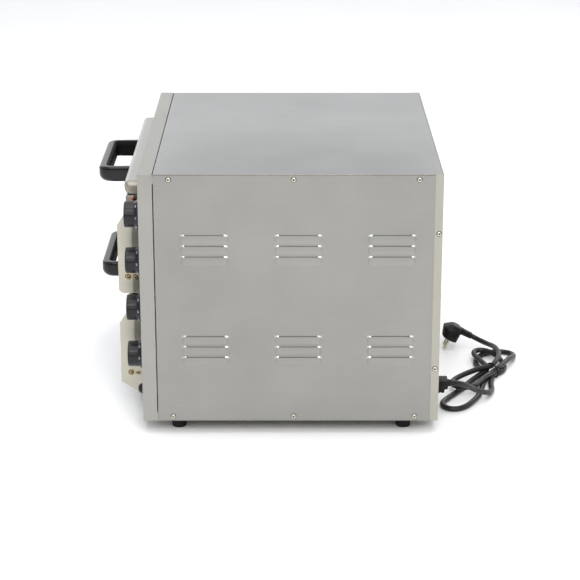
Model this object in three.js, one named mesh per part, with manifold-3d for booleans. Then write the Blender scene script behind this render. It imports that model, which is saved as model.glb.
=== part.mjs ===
// Free-standing double-deck electric pizza oven: two baking chambers, one above the other,
// each with a drop-down door, a hot stone and two tubular elements, and a control bay on the
// right with one thermostat per element.
// Millimetres, +Z up, +X to the control side, -Y to the front.
import * as THREE from "three";
import { mergeVertices } from "three/addons/utils/BufferGeometryUtils.js";
import Module from "manifold-3d";

// ---------------------------------------------------------------- driving dimensions
const WIDTH = 560; // across the casing
const DEPTH = 460; // front of the fascia to the rear cover
const BODY_HEIGHT = 397; // casing without its feet
const FOOT_HEIGHT = 22;
const HANDLE_REACH = 82; // front of a door handle before the fascia
const SHEET = 1; // casing sheet
const GAP = 0.3; // between pieces that touch
const FASCIA_RETURN = 22; // depth of the fascia's folded edge
const SEAM = 1.2; // open joint between fascia and casing
const REAR_RETURN = 12.5; // folded edge of the rear cover
const HEM = 14; // folded edges inside the casing

const DECK_PITCH = 162.5; // one deck above the other
const DECK_BASE = [34.5, 34.5 + DECK_PITCH]; // bottom edge of each door
const DECK_NAMES = ["lower", "upper"];
const CHAMBER_X = -43; // middle of the chambers
const CHAMBER_WIDTH = 400;
const CHAMBER_DEPTH = 414;
const CHAMBER_FLOOR = 9; // above the deck's base
const CHAMBER_TOP = 145;
const MOUTH_BOTTOM = 29;
const MOUTH_TOP = 141;
const STONE_THICKNESS = 14;
const LEDGE = 10; // the ledges that carry a stone

const DOOR_WIDTH = 440;
const DOOR_HEIGHT = 160.4;
const DOOR_BACK = -1.5; // rear face of a shut door
const DOOR_FRONT = -27.4;
const DOOR_SKIN = 1.2;
const RIM_HEIGHT = 23; // the rounded top rim
const RIM_FRONT = -29.5;
const PIVOT_Y = -20.5;
const PIVOT_Z = 7; // above the door's bottom edge
const PIN_R = 3;

const HANDLE_SPAN = 171.6; // between the middles of the legs
const HANDLE_LEG = 17;
const HANDLE_BAR = 17;
const HANDLE_BASE = 124.4; // above the door's bottom edge
const HANDLE_HEIGHT = 26;

const KNOB_X = 229;
const KNOB_Z = [93, 170, 247, 321];
const KNOB_R = 20;
const KNOB_SKIRT_R = 23;
const KNOB_FRONT = -25;
const SHAFT_R = 3;
const LAMP_X = 200;
const LAMP_Z = [172, 337.5];
const LAMP_FRONT = -18.5;
const RESET_Z = 34;
const RESET_FRONT = -11.2;

const ELEMENT_R = 4;
const ELEMENT_END = 190; // where the rods end in the control bay
const SHIELD_X = 175;

const FOOT_X = 244.5;
const FOOT_Y = [54, 408];
const FOOT_R = 13.2;

const GLAND = new THREE.Vector3(200, DEPTH, 31.5); // where the cord leaves the rear cover
const CORD_R = 4.5;
const FLOOR = -FOOT_HEIGHT;
const HANK_START = new THREE.Vector2(169.4, 497.1); // middle of its near, narrow end
const HANK_END = new THREE.Vector2(-43.9, 587.3); // middle of its far, wide end
const HANK_START_R = 23;
const HANK_END_R = 34;
const HANK_HEIGHT = 23;
const TIE_AT = 149.2; // along the hank from its near end
const TIE_ASIDE = -15.5; // the strands meet beside the hank's middle line
const TIE_HALF_WIDTH = 12.5;

// ---------------------------------------------------------------- materials
const steel = (color, roughness = 0.35) =>
  new THREE.MeshStandardMaterial({ color, roughness, metalness: 1 });
const plain = (color, roughness) => new THREE.MeshStandardMaterial({ color, roughness, metalness: 0 });
const MATERIAL = {
  casing: steel(0xb4b4b0),
  door: steel(0xb9b9b4, 0.3),
  bracket: steel(0xc6c3b6, 0.4),
  zinc: steel(0x9a9c9d, 0.5),
  fastener: steel(0xc9c2ae, 0.3),
  element: steel(0x5c5a57, 0.6),
  stone: plain(0xc9b79a, 0.95),
  wool: plain(0xd9d4c4, 1),
  bakelite: plain(0x121113, 0.18),
  knob: plain(0x373537, 0.45),
  rubber: plain(0x1c1b1b, 0.85),
  cord: plain(0x3a3534, 0.6),
  lamp: plain(0xd0451c, 0.2),
  ceramic: plain(0xe8e2d2, 0.5),
};

// ---------------------------------------------------------------- solids
const wasm = await Module();
wasm.setup();

// A closed geometry as a manifold-3d solid.
function solid(geometry) {
  const bare = geometry.clone();
  bare.deleteAttribute("normal");
  bare.deleteAttribute("uv");
  const merged = mergeVertices(bare, 1e-4);
  return new wasm.Manifold(
    new wasm.Mesh({
      numProp: 3,
      vertProperties: new Float32Array(merged.attributes.position.array),
      triVerts: new Uint32Array(merged.index.array),
    }),
  );
}

// A manifold-3d solid as a geometry.
function geometryOf(manifold) {
  const mesh = manifold.getMesh();
  const geometry = new THREE.BufferGeometry();
  geometry.setAttribute("position", new THREE.BufferAttribute(mesh.vertProperties, 3));
  geometry.setIndex(new THREE.BufferAttribute(mesh.triVerts, 1));
  geometry.computeVertexNormals();
  return geometry;
}

const cut = (base, ...tools) =>
  geometryOf(tools.reduce((left, tool) => left.subtract(solid(tool)), solid(base)));
const join = (base, ...more) =>
  geometryOf(more.reduce((whole, piece) => whole.add(solid(piece)), solid(base)));

// A block between two corners.
function block([x0, x1], [y0, y1], [z0, z1]) {
  const box = new THREE.BoxGeometry(x1 - x0, y1 - y0, z1 - z0);
  return box.translate((x0 + x1) / 2, (y0 + y1) / 2, (z0 + z1) / 2);
}

// A shape drawn in Y and Z, drawn out along X from x0 to x1.
function alongX(shape, x0, x1) {
  const body = new THREE.ExtrudeGeometry(shape, { depth: x1 - x0, bevelEnabled: false, curveSegments: 5 });
  const axes = new THREE.Matrix4().makeBasis(
    new THREE.Vector3(0, 1, 0),
    new THREE.Vector3(0, 0, 1),
    new THREE.Vector3(1, 0, 0),
  );
  return body.applyMatrix4(axes).translate(x0, 0, 0);
}

// A turned piece from [radius, distance] pairs, its axis along +Y through (x, z).
function turnedY(profile, x, z, segments = 16) {
  const points = profile.map(([r, y]) => new THREE.Vector2(r, y));
  return new THREE.LatheGeometry(points, segments).translate(x, 0, z);
}

// A round bar along X.
function barX(r, x0, x1, y, z, segments = 12) {
  const bar = new THREE.CylinderGeometry(r, r, x1 - x0, segments);
  return bar.rotateZ(Math.PI / 2).translate((x0 + x1) / 2, y, z);
}

// A round bar along Y.
function barY(r, y0, y1, x, z, segments = 12) {
  return new THREE.CylinderGeometry(r, r, y1 - y0, segments).translate(x, (y0 + y1) / 2, z);
}

// A hollow box open to the back or front: an outer block less an inner one.
const shell = (outer, inner) => cut(block(...outer), block(...inner));

// A rod along a flat route of straight runs and bends: a ring stands at each given point.
class RodRoute extends THREE.Curve {
  constructor(points) {
    super();
    this.points = points;
  }
  getPoint(t) {
    const at = Math.min(t, 1) * (this.points.length - 1);
    const index = Math.min(Math.floor(at), this.points.length - 2);
    return this.points[index].clone().lerp(this.points[index + 1], at - index);
  }
  getPointAt(u) {
    return this.getPoint(u);
  }
  getTangentAt(u) {
    return this.getTangent(u);
  }
  getSpacedPoints(divisions) {
    return this.getPoints(divisions);
  }
}

// A round section with the given number of sides.
function roundSection(r, sides) {
  const corners = Array.from({ length: sides }, (_, i) => {
    const angle = (2 * Math.PI * i) / sides;
    return new THREE.Vector2(r * Math.cos(angle), r * Math.sin(angle));
  });
  return new THREE.Shape(corners);
}

// ---------------------------------------------------------------- the assembly
const oven = new THREE.Group();
const frame = new THREE.Group(); // the casing's own frame: fascia front at y 0, casing bottom at z 0
frame.position.set(0, -(DEPTH - HANDLE_REACH) / 2, FOOT_HEIGHT);
oven.add(frame);

function add(name, geometry, material) {
  const mesh = new THREE.Mesh(geometry, material);
  mesh.name = name;
  frame.add(mesh);
}

const HALF = WIDTH / 2;
const INNER = HALF - SHEET - GAP; // half the width between the side panels
const CASE_FRONT = FASCIA_RETURN + SEAM;
const CASE_BACK = DEPTH - SHEET - GAP;
const CHAMBER_LEFT = CHAMBER_X - CHAMBER_WIDTH / 2;
const CHAMBER_RIGHT = CHAMBER_X + CHAMBER_WIDTH / 2;
const DOOR_LEFT = CHAMBER_X - 1.5 - DOOR_WIDTH / 2;
const DOOR_RIGHT = DOOR_LEFT + DOOR_WIDTH;

// ---------------------------------------------------------------- casing
function basePan() {
  const tray = shell(
    [[-INNER, INNER], [SHEET + GAP, CASE_BACK], [0, HEM]],
    [[-INNER + SHEET, INNER - SHEET], [2 * SHEET + GAP, CASE_BACK - SHEET], [SHEET, HEM + 1]],
  );
  const vents = [90, 150, 210, 270, 330, 390].map((y) => block([195, 255], [y, y + 5], [-1, 2]));
  return cut(tray, ...vents);
}

function topCover() {
  const sheet = block([-INNER, INNER], [CASE_FRONT, CASE_BACK], [BODY_HEIGHT - HEM, BODY_HEIGHT]);
  const under = block(
    [-INNER + SHEET, INNER - SHEET],
    [CASE_FRONT - 1, CASE_BACK - SHEET],
    [0, BODY_HEIGHT - SHEET],
  );
  return cut(sheet, under);
}

const LOUVRE = { length: 70, slit: 60, rise: 15, proud: 2.2, pitch: 17 };
const LOUVRE_Y = [99, 242, 384];
const LOUVRE_TOP = [139.5, 302];

// One pressed louvre on the +X face: a sloped hood that opens upwards.
function louvreHood(y, z) {
  const hood = new THREE.Shape();
  hood.moveTo(-SHEET, -LOUVRE.rise);
  hood.lineTo(0, -LOUVRE.rise);
  hood.quadraticCurveTo(LOUVRE.proud, -LOUVRE.rise * 0.75, LOUVRE.proud, 0);
  hood.lineTo(-SHEET, 0);
  const body = new THREE.ExtrudeGeometry(hood, {
    depth: LOUVRE.length,
    bevelEnabled: false,
    curveSegments: 3,
  });
  const axes = new THREE.Matrix4().makeBasis(
    new THREE.Vector3(1, 0, 0),
    new THREE.Vector3(0, 0, 1),
    new THREE.Vector3(0, -1, 0),
  );
  return body.applyMatrix4(axes).translate(HALF, y + LOUVRE.length / 2, z);
}

function louvreSlit(y, z) {
  return block([HALF - 3, HALF + LOUVRE.proud - 1], [y - LOUVRE.slit / 2, y + LOUVRE.slit / 2], [z - 5, z + 1]);
}

function sidePanel() {
  const sheet = block([HALF - SHEET, HALF], [CASE_FRONT, DEPTH - REAR_RETURN - GAP], [0, BODY_HEIGHT]);
  const places = LOUVRE_TOP.flatMap((top) =>
    LOUVRE_Y.flatMap((y) => [0, 1, 2].map((row) => [y, top - row * LOUVRE.pitch])),
  );
  const hooded = join(sheet, ...places.map((place) => louvreHood(...place)));
  return cut(hooded, ...places.map((place) => louvreSlit(...place)));
}

function rearCover() {
  const pan = shell(
    [[-HALF, HALF], [DEPTH - REAR_RETURN, DEPTH], [0, BODY_HEIGHT]],
    [[-HALF + SHEET, HALF - SHEET], [DEPTH - REAR_RETURN - 1, DEPTH - SHEET], [-1, BODY_HEIGHT + 1]],
  );
  const slots = [300, 318, 336, 354].flatMap((z) =>
    [-150, -40, 70].map((x) => block([x, x + 80], [DEPTH - 2, DEPTH + 1], [z, z + 5])),
  );
  return cut(pan, ...slots, barY(9 + GAP, DEPTH - 3, DEPTH + 1, GLAND.x, GLAND.z, 16));
}

function frontFascia() {
  const pan = cut(
    block([-HALF, HALF], [0, FASCIA_RETURN], [0, BODY_HEIGHT]),
    block([-HALF + SHEET, HALF - SHEET], [SHEET, FASCIA_RETURN + 1], [-1, BODY_HEIGHT - SHEET]),
  );
  const mouths = DECK_BASE.map((base) =>
    block([CHAMBER_LEFT, CHAMBER_RIGHT], [-1, 2], [base + MOUTH_BOTTOM, base + MOUTH_TOP]),
  );
  const shaftHoles = KNOB_Z.map((z) => barY(SHAFT_R + 1, -1, 2, KNOB_X, z));
  const lampHoles = LAMP_Z.map((z) => barY(4 + GAP, -1, 2, LAMP_X, z));
  return cut(pan, ...mouths, ...shaftHoles, ...lampHoles, barY(5 + GAP, -1, 2, KNOB_X, RESET_Z));
}

add("base_pan", basePan(), MATERIAL.casing);
add("top_cover", topCover(), MATERIAL.casing);
add("side_panel_right", sidePanel(), MATERIAL.casing);
add("side_panel_left", geometryOf(solid(sidePanel()).mirror([1, 0, 0])), MATERIAL.casing);
add("rear_cover", rearCover(), MATERIAL.casing);
add("front_fascia", frontFascia(), MATERIAL.casing);

// A tapered rubber foot under each corner of the base pan.
FOOT_Y.forEach((y, row) =>
  [-FOOT_X, FOOT_X].forEach((x, side) => {
    const foot = new THREE.CylinderGeometry(FOOT_R, FOOT_R - 1.5, FOOT_HEIGHT - GAP, 20);
    foot.rotateX(Math.PI / 2).translate(x, y, FLOOR + (FOOT_HEIGHT - GAP) / 2);
    add(`foot_${["front", "rear"][row]}_${["left", "right"][side]}`, foot, MATERIAL.rubber);
  }),
);

// ---------------------------------------------------------------- chambers
const ELEMENT_RUNS = [75, 129, 183, 237, 291, 345]; // where the rod crosses the chamber, from the front
const ELEMENT_LEVEL = [CHAMBER_FLOOR + 6, CHAMBER_TOP - 9]; // under the stone and under the ceiling
const ELEMENT_NAMES = ["bottom", "top"];
const LEDGE_Z = CHAMBER_FLOOR + 11;

function rodHoles(base, x0, x1) {
  return ELEMENT_LEVEL.flatMap((level) =>
    [ELEMENT_RUNS[0], ELEMENT_RUNS.at(-1)].map((y) => barX(ELEMENT_R + GAP, x0, x1, y, base + level)),
  );
}

function chamber(base) {
  const front = SHEET + GAP;
  const back = front + CHAMBER_DEPTH;
  const wide = [CHAMBER_LEFT - SHEET, CHAMBER_RIGHT + SHEET];
  const box = shell(
    [wide, [front, back], [base + CHAMBER_FLOOR - SHEET, base + CHAMBER_TOP + SHEET]],
    [[CHAMBER_LEFT, CHAMBER_RIGHT], [front + SHEET, back - SHEET], [base + CHAMBER_FLOOR, base + CHAMBER_TOP]],
  );
  const mouth = block([CHAMBER_LEFT, CHAMBER_RIGHT], [0, front + 2], [base + MOUTH_BOTTOM, base + MOUTH_TOP]);
  const open = cut(box, mouth, ...rodHoles(base, CHAMBER_RIGHT - 2, CHAMBER_RIGHT + 3));
  const ledges = [
    [CHAMBER_LEFT - 0.5, CHAMBER_LEFT + LEDGE],
    [CHAMBER_RIGHT - LEDGE, CHAMBER_RIGHT + 0.5],
  ].map((x) => block(x, [front + 0.5, back - 0.5], [base + LEDGE_Z, base + LEDGE_Z + SHEET]));
  return join(open, ...ledges);
}

function stone(base) {
  const bottom = base + LEDGE_Z + SHEET + GAP;
  return block(
    [CHAMBER_LEFT + 2, CHAMBER_RIGHT - 2],
    [6, CHAMBER_DEPTH - 6],
    [bottom, bottom + STONE_THICKNESS],
  );
}

// The bent rod: in through the right wall at the front, six runs across, out at the back.
function element(base, level) {
  const bend = (ELEMENT_RUNS[1] - ELEMENT_RUNS[0]) / 2;
  const left = CHAMBER_LEFT + bend + 22;
  const right = CHAMBER_RIGHT - bend - 22;
  const z = base + level;
  const points = [new THREE.Vector3(ELEMENT_END, ELEMENT_RUNS[0], z)];
  for (let turn = 0; turn < ELEMENT_RUNS.length - 1; turn += 1) {
    const side = turn % 2 ? 1 : -1;
    const x = turn % 2 ? right : left;
    for (let step = 0; step <= 6; step += 1) {
      const angle = (Math.PI * step) / 6;
      const y = ELEMENT_RUNS[turn] + bend * (1 - Math.cos(angle));
      points.push(new THREE.Vector3(x + side * bend * Math.sin(angle), y, z));
    }
  }
  points.push(new THREE.Vector3(ELEMENT_END, ELEMENT_RUNS.at(-1), z));
  return new THREE.ExtrudeGeometry(roundSection(ELEMENT_R, 8), {
    steps: points.length - 1,
    extrudePath: new RodRoute(points),
    bevelEnabled: false,
  });
}

DECK_BASE.forEach((base, deck) => {
  const name = DECK_NAMES[deck];
  add(`chamber_${name}`, chamber(base), MATERIAL.zinc);
  add(`stone_${name}`, stone(base), MATERIAL.stone);
  ELEMENT_LEVEL.forEach((level, i) =>
    add(`element_${name}_${ELEMENT_NAMES[i]}`, element(base, level), MATERIAL.element),
  );
});

// Mineral wool over the top chamber and between the two.
const WOOL_X = [CHAMBER_LEFT - 20, CHAMBER_RIGHT + 10];
const WOOL_Y = [FASCIA_RETURN + 8, CHAMBER_DEPTH + 20];
const woolFloor = (deck) => DECK_BASE[deck] + CHAMBER_TOP + SHEET + GAP;
const woolBetween = [woolFloor(0), DECK_BASE[1] + CHAMBER_FLOOR - SHEET - GAP];
const woolOver = [woolFloor(1), BODY_HEIGHT - SHEET - 4];
add("insulation_middle", block(WOOL_X, WOOL_Y, woolBetween), MATERIAL.wool);
add("insulation_top", block(WOOL_X, WOOL_Y, woolOver), MATERIAL.wool);

// The sheet that keeps the chambers' heat out of the control bay.
const shieldSheet = block([SHIELD_X, SHIELD_X + SHEET], [4, CASE_BACK - 6], [SHEET + GAP, BODY_HEIGHT - 5]);
add(
  "heat_shield",
  cut(shieldSheet, ...DECK_BASE.flatMap((base) => rodHoles(base, SHIELD_X - 2, SHIELD_X + 3))),
  MATERIAL.zinc,
);

// ---------------------------------------------------------------- doors
// The door's outline seen from its end: chamfered at the bottom, a rounded rim along the top.
function doorOutline(base, inset) {
  const top = base + DOOR_HEIGHT - inset;
  const front = DOOR_FRONT + inset;
  const rimFront = RIM_FRONT + inset;
  const back = DOOR_BACK;
  const rimFoot = base + DOOR_HEIGHT - RIM_HEIGHT;
  const bottom = base + inset;
  const outline = new THREE.Shape();
  outline.moveTo(back - 3, bottom);
  outline.lineTo(back, base + 3 + inset);
  outline.lineTo(back, top);
  outline.lineTo(rimFront + 9, top);
  outline.quadraticCurveTo(rimFront, top, rimFront, top - 9);
  outline.lineTo(rimFront, rimFoot + 3);
  outline.lineTo(front, rimFoot - inset);
  outline.lineTo(front, bottom + 2);
  outline.lineTo(front + 2, bottom);
  return outline;
}

function doorShell(base) {
  const skin = alongX(doorOutline(base, 0), DOOR_LEFT, DOOR_RIGHT);
  const hollow = alongX(doorOutline(base, DOOR_SKIN), DOOR_LEFT + DOOR_SKIN, DOOR_RIGHT - DOOR_SKIN);
  const back = block(
    [DOOR_LEFT + DOOR_SKIN, DOOR_RIGHT - DOOR_SKIN],
    [-6, 1],
    [base + 3 + DOOR_SKIN, base + DOOR_HEIGHT - DOOR_SKIN],
  );
  const pins = barX(PIN_R + GAP, DOOR_LEFT - 5, DOOR_RIGHT + 5, PIVOT_Y, base + PIVOT_Z);
  const screws = handleLegs().map((x) =>
    barY(2.2 + GAP, DOOR_FRONT - 3, DOOR_FRONT + 3, x, base + HANDLE_BASE + 7),
  );
  return cut(skin, hollow, back, pins, ...screws);
}

function handleLegs() {
  return [-1, 1].map((side) => CHAMBER_X - 1 + (side * HANDLE_SPAN) / 2);
}

// The inner plate that closes the door's back.
function doorLiner(base) {
  const edge = DOOR_SKIN + GAP;
  return block(
    [DOOR_LEFT + edge, DOOR_RIGHT - edge],
    [DOOR_BACK - DOOR_SKIN, DOOR_BACK],
    [base + 3 + edge, base + DOOR_HEIGHT - edge],
  );
}

function doorWool(base) {
  return block(
    [DOOR_LEFT + 6, DOOR_RIGHT - 6],
    [DOOR_FRONT + 6, DOOR_BACK - DOOR_SKIN - GAP],
    [base + PIVOT_Z + 8, base + DOOR_HEIGHT - 6],
  );
}

// A moulded bow handle, its lower outer edge rounded most.
function doorHandle(base) {
  const bottom = base + HANDLE_BASE;
  const top = bottom + HANDLE_HEIGHT;
  const front = -HANDLE_REACH;
  const back = DOOR_FRONT - GAP;
  const side = new THREE.Shape();
  side.moveTo(back, bottom);
  side.lineTo(back, top);
  side.lineTo(front + 8, top);
  side.quadraticCurveTo(front, top, front, top - 8);
  side.lineTo(front, bottom + 13);
  side.quadraticCurveTo(front + 1, bottom + 1, front + 15, bottom);
  const legs = handleLegs();
  const body = alongX(side, legs[0] - HANDLE_LEG / 2, legs[1] + HANDLE_LEG / 2);
  const grip = block(
    [legs[0] + HANDLE_LEG / 2, legs[1] - HANDLE_LEG / 2],
    [front + HANDLE_BAR, 0],
    [bottom - 1, top + 1],
  );
  const rimRelief = block([-HALF, HALF], [RIM_FRONT - GAP, 0], [rimFootOf(base) - 4, top + 1]);
  const screwHoles = legs.map((x) => barY(2.2 + GAP, DOOR_FRONT - 15, 0, x, bottom + 7));
  return cut(body, grip, rimRelief, ...screwHoles);
}

const rimFootOf = (base) => base + DOOR_HEIGHT - RIM_HEIGHT;

function handleScrew(x, base) {
  const head = DOOR_FRONT + DOOR_SKIN + GAP;
  const profile = [
    [0, head - 14],
    [2.2, head - 14],
    [2.2, head],
    [4.5, head],
    [4, head + 2.4],
    [0, head + 2.4],
  ];
  return turnedY(profile, x, base + HANDLE_BASE + 7, 12);
}

DECK_BASE.forEach((base, deck) => {
  const name = `door_${DECK_NAMES[deck]}`;
  add(`${name}_shell`, doorShell(base), MATERIAL.door);
  add(`${name}_liner`, doorLiner(base), MATERIAL.zinc);
  add(`${name}_insulation`, doorWool(base), MATERIAL.wool);
  add(`${name}_handle`, doorHandle(base), MATERIAL.bakelite);
  handleLegs().forEach((x, i) => add(`${name}_handle_screw_${i + 1}`, handleScrew(x, base), MATERIAL.fastener));
});

// ---------------------------------------------------------------- hinge brackets and pins
const BRACKET_THICKNESS = 3;
const BRACKET_CLEAR = 1.6; // beside the door's end
const BRACKET_FRONT = -41.6;
const BRACKET_WEB = -18.5; // where the plate steps back towards the fascia

// The plate's outline: the lower one runs out in a slope, the upper one ends in a rounded corner.
function bracketOutline(base, deck) {
  const outline = new THREE.Shape();
  outline.moveTo(-GAP, base + 109);
  outline.lineTo(-30.4, base + 109);
  outline.lineTo(BRACKET_FRONT, base + 92);
  if (deck === 0) {
    outline.lineTo(BRACKET_FRONT, base - 8);
    outline.lineTo(-10, base - 28);
    outline.lineTo(-GAP, base - 28);
  } else {
    outline.lineTo(BRACKET_FRONT, base - 11);
    outline.quadraticCurveTo(BRACKET_FRONT, base - 20.5, BRACKET_FRONT + 9.5, base - 20.5);
    outline.lineTo(-GAP, base - 20.5);
  }
  return outline;
}

function bracket(base, deck, side) {
  const inner = side > 0 ? DOOR_RIGHT + BRACKET_CLEAR : DOOR_LEFT - BRACKET_CLEAR;
  const outer = inner + side * BRACKET_THICKNESS;
  const plate = alongX(bracketOutline(base, deck), Math.min(inner, outer), Math.max(inner, outer));
  const step = inner + side * 1.4;
  const stepBottom = deck === 0 ? base + 21 : base - 30;
  const relief = block(
    [Math.min(step, outer + side), Math.max(step, outer + side)],
    [BRACKET_WEB, 1],
    [stepBottom, base + 120],
  );
  const pin = barX(PIN_R + GAP, inner - 6, inner + 6, PIVOT_Y, base + PIVOT_Z);
  return cut(plate, relief, pin);
}

function hingePin(base, side) {
  const end = side > 0 ? DOOR_RIGHT : DOOR_LEFT;
  const outer = end + side * (BRACKET_CLEAR + 1.2);
  const inner = end - side * 8;
  return barX(PIN_R, Math.min(inner, outer), Math.max(inner, outer), PIVOT_Y, base + PIVOT_Z);
}

DECK_BASE.forEach((base, deck) =>
  [-1, 1].forEach((side) => {
    const place = `${DECK_NAMES[deck]}_${side > 0 ? "right" : "left"}`;
    add(`hinge_bracket_${place}`, bracket(base, deck, side), MATERIAL.bracket);
    add(`hinge_pin_${place}`, hingePin(base, side), MATERIAL.fastener);
  }),
);

// ---------------------------------------------------------------- controls
// A push-on knob with a wide skirt, bored for the thermostat's shaft.
function knob(z) {
  const bore = SHAFT_R + GAP;
  const profile = [
    [0, KNOB_FRONT],
    [KNOB_R - 2, KNOB_FRONT],
    [KNOB_R, KNOB_FRONT + 2],
    [KNOB_R + 0.5, -9],
    [KNOB_SKIRT_R, -4],
    [KNOB_SKIRT_R, -2],
    [bore, -2],
    [bore, -13],
    [0, -13],
  ];
  return turnedY(profile, KNOB_X, z, 28);
}

function thermostat(z) {
  const profile = [
    [0, -12],
    [SHAFT_R, -12],
    [SHAFT_R, SHEET + GAP],
    [17, SHEET + GAP],
    [17, 24],
    [0, 24],
  ];
  return turnedY(profile, KNOB_X, z, 16);
}

function pilotLamp(z) {
  const profile = [
    [0, LAMP_FRONT],
    [2.4, LAMP_FRONT + 0.9],
    [3.6, LAMP_FRONT + 3],
    [3.8, LAMP_FRONT + 6],
    [4.8, LAMP_FRONT + 6],
    [5, -2],
    [6, -GAP],
    [4, -GAP],
    [4, 16],
    [0, 16],
  ];
  return turnedY(profile, LAMP_X, z, 14);
}

const RESET_TRAVEL = 2.5;

function resetButton() {
  const profile = [
    [0, RESET_FRONT],
    [4.2, RESET_FRONT + 0.7],
    [7, RESET_FRONT + 3],
    [8.3, RESET_FRONT + 6.5],
    [8.3, -RESET_TRAVEL - GAP],
    [5, -RESET_TRAVEL - GAP],
    [5, 3],
    [0, 3],
  ];
  return turnedY(profile, KNOB_X, RESET_Z, 18);
}

// The cut-out behind the reset button, with a well that the button sinks into.
function cutOut() {
  const body = barY(12, SHEET + GAP, 26, KNOB_X, RESET_Z, 16);
  return cut(body, barY(5 + 2 * GAP, 0, 3 + RESET_TRAVEL + 1, KNOB_X, RESET_Z, 16));
}

KNOB_Z.forEach((z, i) => {
  add(`knob_${i + 1}`, knob(z), MATERIAL.knob);
  add(`thermostat_${i + 1}`, thermostat(z), MATERIAL.zinc);
});
LAMP_Z.forEach((z, i) => add(`pilot_lamp_${DECK_NAMES[i]}`, pilotLamp(z), MATERIAL.lamp));
add("reset_button", resetButton(), MATERIAL.knob);
add("safety_cut_out", cutOut(), MATERIAL.ceramic);
add("terminal_block", block([186, 236], [405, 427], [SHEET + GAP, 26]), MATERIAL.ceramic);

// ---------------------------------------------------------------- mains cord
const GLAND_LENGTH = 22;

// The gland: a nut inside, a deep clamping nut outside and a tapered sleeve round the cord.
function cordGland() {
  const y = DEPTH + GAP;
  const body = turnedY(
    [
      [CORD_R + GAP, y - 12],
      [9, y - 12],
      [9, y],
      [12, y],
      [12, y + 11],
      [11, y + 13.4],
      [6.6, y + 14],
      [5.4, y + GLAND_LENGTH],
      [CORD_R + GAP, y + GLAND_LENGTH],
      [CORD_R + GAP, y - 12],
    ],
    GLAND.x,
    GLAND.z,
    18,
  );
  return body;
}

// The route from inside the gland, down to the surface and into the side of the hank.
const CORD_POINTS = [
  [200, 465, 53.5],
  [200, 476, 53.5],
  [200, 487, 53.5],
  [196.5, 498, 51.5],
  [188, 508.5, 46],
  [176, 518.5, 37.5],
  [163, 529, 27.5],
  [152, 540.5, 19.5],
  [141, 551, 13],
  [126, 558.5, 8.5],
  [108, 563.5, 5.5],
  [102, 564.2, 5],
];

// From the plug's boot down into the far end of the hank.
const LEAD_POINTS = [
  [-104, 549.8, 21.3],
  [-103, 553.4, 19.6],
  [-98, 559.5, 17.8],
  [-89, 566.7, 17.1],
  [-79, 573.2, 17.2],
];

function cordAlong(points, steps) {
  const path = new THREE.CatmullRomCurve3(points.map(([x, y, h]) => new THREE.Vector3(x, y, FLOOR + h)));
  return new THREE.ExtrudeGeometry(roundSection(CORD_R, 8), { steps, extrudePath: path, bevelEnabled: false });
}

// Stands a piece drawn along +X, from the hank's near end towards its far end, in its place.
function alongHank(geometry) {
  const along = HANK_END.clone().sub(HANK_START);
  return geometry.rotateZ(Math.atan2(along.y, along.x)).translate(HANK_START.x, HANK_START.y, FLOOR);
}

// The folded bundle: a bar with round ends, wider at its far end, lying on the surface.
function cordHank() {
  const length = HANK_END.distanceTo(HANK_START);
  const flare = Math.asin((HANK_END_R - HANK_START_R) / length);
  const outline = new THREE.Shape();
  outline.absarc(0, 0, HANK_START_R, Math.PI / 2 + flare, (3 * Math.PI) / 2 - flare);
  outline.absarc(length, 0, HANK_END_R, -Math.PI / 2 - flare, Math.PI / 2 + flare);
  const body = new THREE.ExtrudeGeometry(outline, { depth: HANK_HEIGHT, bevelEnabled: false, curveSegments: 8 });
  const notches = [-1, 1].map((side) => {
    const y = [TIE_HALF_WIDTH, 80].map((aside) => TIE_ASIDE + side * aside).sort((a, b) => a - b);
    return block([TIE_AT - 6, TIE_AT + 6], y, [-1, HANK_HEIGHT + 1]);
  });
  return alongHank(cut(body, ...notches));
}

// A twisted tie over the hank's waist.
function cordTie() {
  const half = TIE_HALF_WIDTH + GAP;
  const top = HANK_HEIGHT + GAP;
  const arch = shell(
    [[TIE_AT - 2, TIE_AT + 2], [TIE_ASIDE - half - 2, TIE_ASIDE + half + 2], [0, top + 2]],
    [[TIE_AT - 3, TIE_AT + 3], [TIE_ASIDE - half, TIE_ASIDE + half], [-1, top]],
  );
  return alongHank(arch);
}

// An angled mains plug, leaning on the tips of its two pins. It is drawn with the face that
// carries the pins at z 0 and the boot towards +Y.
const PLUG_FACE = new THREE.Vector3(-104, 509.3, FLOOR + 18.6); // middle of that face
const PLUG_LEAN = 0.47;
const PLUG_HALF = new THREE.Vector2(18.5, 14.25);
const PLUG_TALL = 27;
const PIN_LENGTH = 19;
const PIN_SPACING = 19;
const BOOT_END = 33.5;
const BOOT_LEVEL = 20.8;

function plug() {
  const body = new THREE.CylinderGeometry(1, 1, PLUG_TALL, 20).rotateX(Math.PI / 2);
  body.scale(PLUG_HALF.x, PLUG_HALF.y, 1).translate(0, 0, PLUG_TALL / 2);
  const slope = new THREE.Shape([
    new THREE.Vector2(-PLUG_HALF.y - 1, 18),
    new THREE.Vector2(-3.5, PLUG_TALL + 1),
    new THREE.Vector2(-PLUG_HALF.y - 1, PLUG_TALL + 1),
  ]);
  const boot = new THREE.CylinderGeometry(5.2, 6, BOOT_END, 12).scale(1.3, 1, 1);
  boot.translate(0, BOOT_END / 2, BOOT_LEVEL);
  const pins = [-1, 1].map((side) => {
    const pin = new THREE.CylinderGeometry(2.4, 2.4, PIN_LENGTH + 2, 10).rotateX(Math.PI / 2);
    return pin.translate((side * PIN_SPACING) / 2, 0, 1 - PIN_LENGTH / 2);
  });
  const shaped = cut(body, alongX(slope, -PLUG_HALF.x - 1, PLUG_HALF.x + 1));
  const whole = join(shaped, boot, ...pins);
  return whole.rotateX(-PLUG_LEAN).translate(PLUG_FACE.x, PLUG_FACE.y, PLUG_FACE.z);
}

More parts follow.
